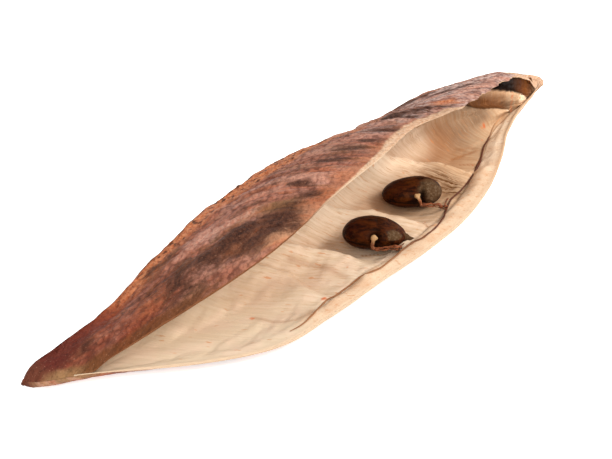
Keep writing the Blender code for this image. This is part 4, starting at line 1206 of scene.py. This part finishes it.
ENDS = (-1.0, -0.6, -0.1, 0.35, 0.7, 1.0)
near_at, near_front = seed(
    "seed_near_bean", "seed_near", 30.02, -6.58, -58.0, -4.0, (4.85, 3.25, 2.40), 0.02,
    (ENDS, (0.98, 1.0, 1.02, 1.0, 0.96, 0.90), (1.0, 1.03, 1.02, 0.97, 0.88, 0.80), (0.0, 0.0, 0.02, 0.0, -0.06, -0.14)), (0.66, 24.0, 0.25, 26.0), flap=True,
)
far_at, far_front = seed(
    "seed_far_bean", "seed_far", 38.0, -4.66, -48.0, -5.0, (4.80, 3.20, 2.36), 0.22,
    (ENDS, (0.97, 0.98, 1.0, 1.03, 1.05, 1.04), (0.88, 0.94, 1.0, 1.05, 1.06, 1.02), (-0.10, -0.06, -0.01, 0.02, 0.03, 0.02)), (0.64, 30.0, 0.52, 62.0),
)


# ------------------------------------------------- the strand and the stalks
def path_through(corners, step=0.06):
    p = [np.array(c, float) for c in corners]
    p = [2 * p[0] - p[1], *p, 2 * p[-1] - p[-2]]
    out = []
    for a, b, c, d in zip(p, p[1:], p[2:], p[3:]):
        n = max(2, int(np.linalg.norm(c - b) / step))
        for k in range(n):
            t = k / n
            out.append(0.5 * (2 * b + (c - a) * t + (2 * a - 5 * b + 4 * c - d) * t * t + (3 * b - a - 3 * c + d) * t**3))
    out.append(p[-2])
    return np.array(out)


def tube_mesh(path, radius, flat, ring, seed_no, rough=0.22, twist=0.0):
    """Vertices and faces of a fibrous tube along a path; radius and flat are per point."""
    n = len(path)
    tangent = np.gradient(path, axis=0)
    tangent /= np.linalg.norm(tangent, axis=1, keepdims=True)
    side_ = np.cross(tangent, np.array([0.0, 0.0, 1.0]) + 0.02 * tangent[:, ::-1])
    side_ /= np.maximum(np.linalg.norm(side_, axis=1, keepdims=True), 1e-9)
    for i in range(1, n):
        if side_[i] @ side_[i - 1] < 0:
            side_[i] *= -1
    up_ = np.cross(side_, tangent)
    length = np.concatenate([[0], np.cumsum(np.linalg.norm(np.diff(path, axis=0), axis=1))])
    a = 2 * np.pi * np.arange(ring)[None, :] / ring + np.zeros((n, 1))
    w = a + twist * length[:, None]
    k = 1 + rough * fbm(length[:, None] * 2.2 + np.zeros_like(a), np.cos(w) * 1.3 + seed_no, np.sin(w) * 1.3, 3, seed_no)
    k = k + 0.5 * rough * fbm(length[:, None] * 7.0 + np.zeros_like(a), np.cos(w) * 2.6 + seed_no, np.sin(w) * 2.6, 2, seed_no + 50)
    k = k + 0.10 * np.cos(3 * w + seed_no)
    radius, flat = np.asarray(radius)[:, None], np.asarray(flat)[:, None]
    grid = path[:, None, :] + side_[:, None, :] * (np.cos(a) * radius * k)[:, :, None] + up_[:, None, :] * (np.sin(a) * radius * flat * k)[:, :, None]
    wheres = [(length[i] + seed_no * 3.1, j / ring * 4, 0.0) for i in range(n) for j in range(ring)]
    verts = [q for row_ in grid for q in row_]
    faces_ = [(i * ring + j, i * ring + (j + 1) % ring, (i + 1) * ring + (j + 1) % ring, (i + 1) * ring + j) for i in range(n - 1) for j in range(ring)]
    first, last = len(verts), len(verts) + 1
    verts += [path[0] - tangent[0] * radius[0, 0] * 0.6, path[-1] + tangent[-1] * radius[-1, 0] * 0.6]
    wheres += [(seed_no * 3.1, 0, 0), (length[-1] + seed_no * 3.1, 0, 0)]
    for j in range(ring):
        faces_.append((first, (j + 1) % ring, j))
        faces_.append((last, (n - 1) * ring + j, (n - 1) * ring + (j + 1) % ring))
    return verts, faces_, wheres, length


strand_mat = stalk_material("strand_skin", lin(78, 34, 16, 0.70), lin(128, 66, 32, 0.70), lin(196, 132, 84, 0.70))
stalk_mat = stalk_material("stalk_skin", lin(92, 38, 18, 0.70), lin(176, 98, 52, 0.70), lin(216, 176, 124, 0.70))

STRAND_PIXELS = (
    (290, 332), (298, 328), (305, 323), (312, 316), (320, 308), (328, 300), (335, 297), (342, 292), (350, 286), (360, 278), (370, 273), (380, 269),
    (388, 263), (398, 255), (402, 251), (412, 243.5), (422, 239), (430, 233), (436, 228), (443, 219), (446, 211), (449, 204), (452, 199), (461, 191),
    (470, 180), (477, 168), (479.5, 163), (482, 155), (484, 147), (489, 138), (493, 128), (500, 119), (510, 109), (515, 104), (519, 99),
)
strand_corners = []
for q in STRAND_PIXELS:
    p = on_valve(*q)
    if p is not None:
        strand_corners.append(p + np.array([0, 0, 0.07 - 0.04 * float(smooth(p[0], 50.0, 56.0))]))
strand_path = path_through(strand_corners[:], 0.12)
strand_path = np.array([strand_path[0]] + [p for a, p in zip(strand_path, strand_path[1:]) if np.linalg.norm(p - a) > 0.03])
for k in range(3):
    strand_path[1:-1] = (strand_path[:-2] + 2 * strand_path[1:-1] + strand_path[2:]) / 4
sx = strand_path[:, 0]
strand_r = 0.060 + 0.012 * smooth(sx, 22, 34) + 0.012 * fbm(sx * 0.5, 4.0, octaves=3, seed=97)
# near x 48.6 the strand swells over a dark gap beside it, its dark standing in for shade there
strand_r = strand_r + 0.075 * bump(sx, 48.6, 1.0) - 0.012 * smooth(sx, 52, 62)
strand_r = np.maximum(strand_r * smooth(sx, sx[0] - 2.5, sx[0] + 3.0), 0.03)
sv, sf, sw, sl = tube_mesh(strand_path, strand_r, np.full(len(sx), 0.75), 10, 5, rough=0.35)
knob0 = [float(0.75 * smooth(p[0], 36.0, 27.0)) for p in sv]
faded = [float(smooth(q[0], 53.0, 57.5)) * 0.9 for q in sv]
strand = finish_mesh("placental_strand_dry", [to_world(p) for p in sv], sf, None, [strand_mat], floats={"knob": knob0, "fade": faded}, vectors={"where": sw})
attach(strand, "root")
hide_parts("placental_strand")


def before(px, py, at, facing, b):
    """Where a sight line meets the upright plane that stands b half widths from the seed's middle."""
    d = sight(px, py)
    n = np.array([facing[0], facing[1], 0.0])
    return CAMERA_AT + d * float(n @ (at(0, b, 0) - CAMERA_AT)) / float(n @ d)


def stalk(name, node, at, facing, knob_line, runs, seed_no):
    """A seed's stalk: a pale rolled knob in the hilum, and dry threads that run from it to the strand."""
    verts, fs, where, knob = [], [], [], []

    def tube(path, radius, flat, ring, number, rough, pale_=None, twist=3.0):
        base = len(verts)
        v2, f2, w2, _ = tube_mesh(path, radius, flat, ring, number, rough=rough, twist=twist)
        share_ = np.linspace(0, 1, len(path))
        tone = np.zeros(len(path)) if pale_ is None else pale_(share_)
        verts.extend(v2)
        fs.extend(tuple(base + q for q in f) for f in f2)
        where.extend(w2)
        knob.extend([float(tone[k // ring]) for k in range(len(path) * ring)] + [float(tone[0]), float(tone[-1])])

    corners = [before(px, py, at, facing, b) for px, py, b in knob_line]
    path = path_through(corners, 0.035)
    share = np.linspace(0, 1, len(path))
    radius = 0.120 + 0.125 * bump(share, 0.16, 0.17) + 0.02 * bump(share, 0.62, 0.1) + 0.05 * smooth(share, 0.75, 1.0)
    radius = radius * (0.45 + 0.55 * smooth(share, -0.04, 0.07))
    tube(path, radius, np.full(len(path), 0.9), 20, seed_no, 0.42, lambda s_: 1 - 0.92 * smooth(s_, 0.30, 0.62))
    for k, (thread, thick, pale_share) in enumerate(runs):
        corners = []
        for px, py, b in thread:
            p_ = before(px, py, at, facing, b) if b is not None else on_valve(px, py) + np.array([0, 0, 0.07])
            floor_ = valve_height(p_[0], p_[1]) + thick * 0.8
            if p_[2] < floor_:
                p_[2] = floor_
            corners.append(p_)
        path = path_through(corners, 0.04)
        share = np.linspace(0, 1, len(path))
        wave = 0.018 * np.sin(share * 31 + k) + 0.014 * np.sin(share * 57 + 2 * k)
        path[:, 2] += wave * bump(share, 0.5, 0.35)
        path[:, 0] += 0.6 * wave
        radius = thick * (0.8 + 0.25 * np.sin(share * 17 + k * 2)) * (0.6 + 0.4 * smooth(np.minimum(share, 1 - share), 0.0, 0.08))
        tube(path, radius, np.full(len(path), 0.85), 12, seed_no + 10 + k, 0.40, lambda s_, q=pale_share: q * (1 - smooth(s_, 0.1, 0.6)))
    obj = finish_mesh(name, [to_world(p) for p in verts], fs, None, [stalk_mat], floats={"knob": knob}, vectors={"where": where})
    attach(obj, "root")
    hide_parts(node)
    return obj


stalk(
    "funicle_near_dry", "funicle_near", near_at, near_front,
    ((375.0, 236.6, -0.82), (373.8, 238.4, -0.95), (373.2, 241.0, -1.02), (372.4, 244.0, -1.04), (372.2, 246.6, -1.05), (373.6, 248.8, -1.06)),
    (
        (((372.8, 247.6, -1.05), (376.0, 249.2, -1.08), (381.0, 248.2, -1.10), (387.0, 247.0, -1.12), (392.5, 247.0, -1.14), (397.5, 246.4, -1.14), (401.5, 248.8, None)), 0.135, 0.0),
        (((373.0, 248.0, -1.05), (377.0, 250.4, -1.10), (383.0, 250.0, -1.12), (389.0, 249.0, -1.13), (395.0, 249.4, -1.13), (400.0, 251.0, None)), 0.080, 0.1),
        (((381.0, 248.4, -1.10), (386.0, 249.0, -1.10), (392.0, 246.0, -1.12), (398.0, 247.0, -1.13), (404.0, 244.4, None)), 0.055, 0.0),
    ), 7,
)
stalk(
    "funicle_far_dry", "funicle_far", far_at, far_front,
    ((416.2, 195.4, -0.80), (417.6, 196.4, -0.95), (418.8, 198.6, -1.02), (420.2, 201.4, -1.05), (420.8, 203.8, -1.06), (421.6, 205.6, -1.08)),
    (
        (((420.6, 204.6, -1.06), (425.0, 204.6, -1.10), (431.0, 204.0, -1.12), (437.0, 204.4, -1.14), (442.0, 206.2, -1.14), (447.6, 207.4, None)), 0.135, 0.0),
        (((421.0, 205.4, -1.07), (426.0, 206.4, -1.10), (433.0, 206.2, -1.12), (439.0, 207.2, -1.12), (445.6, 209.8, None)), 0.075, 0.1),
        (((413.6, 197.6, -0.86), (414.2, 196.0, -0.88), (415.8, 195.6, -0.90), (417.0, 196.6, -0.95)), 0.060, 1.0),
        (((444.0, 206.4, -1.12), (445.4, 203.6, -1.10), (447.0, 200.4, None), (448.6, 198.6, None)), 0.055, 0.0),
    ), 9,
)

# ------------------------------------------------------ floor, light, camera
floor_mesh = bpy.data.meshes.new("floor")
reach = 1.6
floor_mesh.from_pydata([(-reach, -reach, 0), (reach, -reach, 0), (reach, reach, 0), (-reach, reach, 0)], [], [(0, 1, 2, 3)])
floor = bpy.data.objects.new("floor", floor_mesh)
bpy.context.scene.collection.objects.link(floor)
paper = Maker("floor_paper", 0.9, 0.1)
paper.shader.inputs["Base Color"].default_value = (0.90, 0.90, 0.90, 1.0)
paper.shader.inputs["Emission Color"].default_value = (1.0, 1.0, 1.0, 1.0)
paper.shader.inputs["Emission Strength"].default_value = 0.55
floor_mesh.materials.append(paper.mat)

world = bpy.data.worlds.new("studio")
world.use_nodes = True
world.node_tree.nodes["Background"].inputs["Color"].default_value = (1.0, 1.0, 1.0, 1.0)
world.node_tree.nodes["Background"].inputs["Strength"].default_value = 0.90
bpy.context.scene.world = world
bpy.context.scene.view_settings.view_transform = "Standard"
bpy.context.scene.view_settings.look = "None"


def softbox(name, place, aim, size, power):
    data = bpy.data.lights.new(name, "AREA")
    data.shape = "DISK"
    data.size = size
    data.energy = power
    data.color = (1.0, 0.94, 0.86)
    obj = bpy.data.objects.new(name, data)
    bpy.context.scene.collection.objects.link(obj)
    obj.location = place
    obj.rotation_euler = (Vector(aim) - Vector(place)).to_track_quat("-Z", "Y").to_euler()
    return obj


right, ahead = Vector(cam_right), Vector((math.sin(TURN), math.cos(TURN), 0.0))
softbox("key", right * 0.32 - ahead * 0.04 + Vector((0, 0, 0.29)), (0, 0, 0), 0.18, 1.55)
softbox("fill", right * 0.04 - ahead * 0.38 + Vector((0, 0, 0.20)), (0, 0, 0), 0.30, 0.75)

camera_data = bpy.data.cameras.new("camera")
camera_data.lens = LENS
camera_data.sensor_width = SENSOR
camera_data.sensor_fit = "HORIZONTAL"
camera_data.clip_start = 0.005
camera_data.clip_end = 10.0
camera = bpy.data.objects.new("camera", camera_data)
bpy.context.scene.collection.objects.link(camera)
basis = Matrix((Vector(cam_right), Vector(cam_up), Vector(-cam_ahead))).transposed().to_4x4()
basis.translation = Vector(to_world(CAMERA_AT))
camera.matrix_world = basis
bpy.context.scene.camera = camera

bpy.context.view_layer.update()
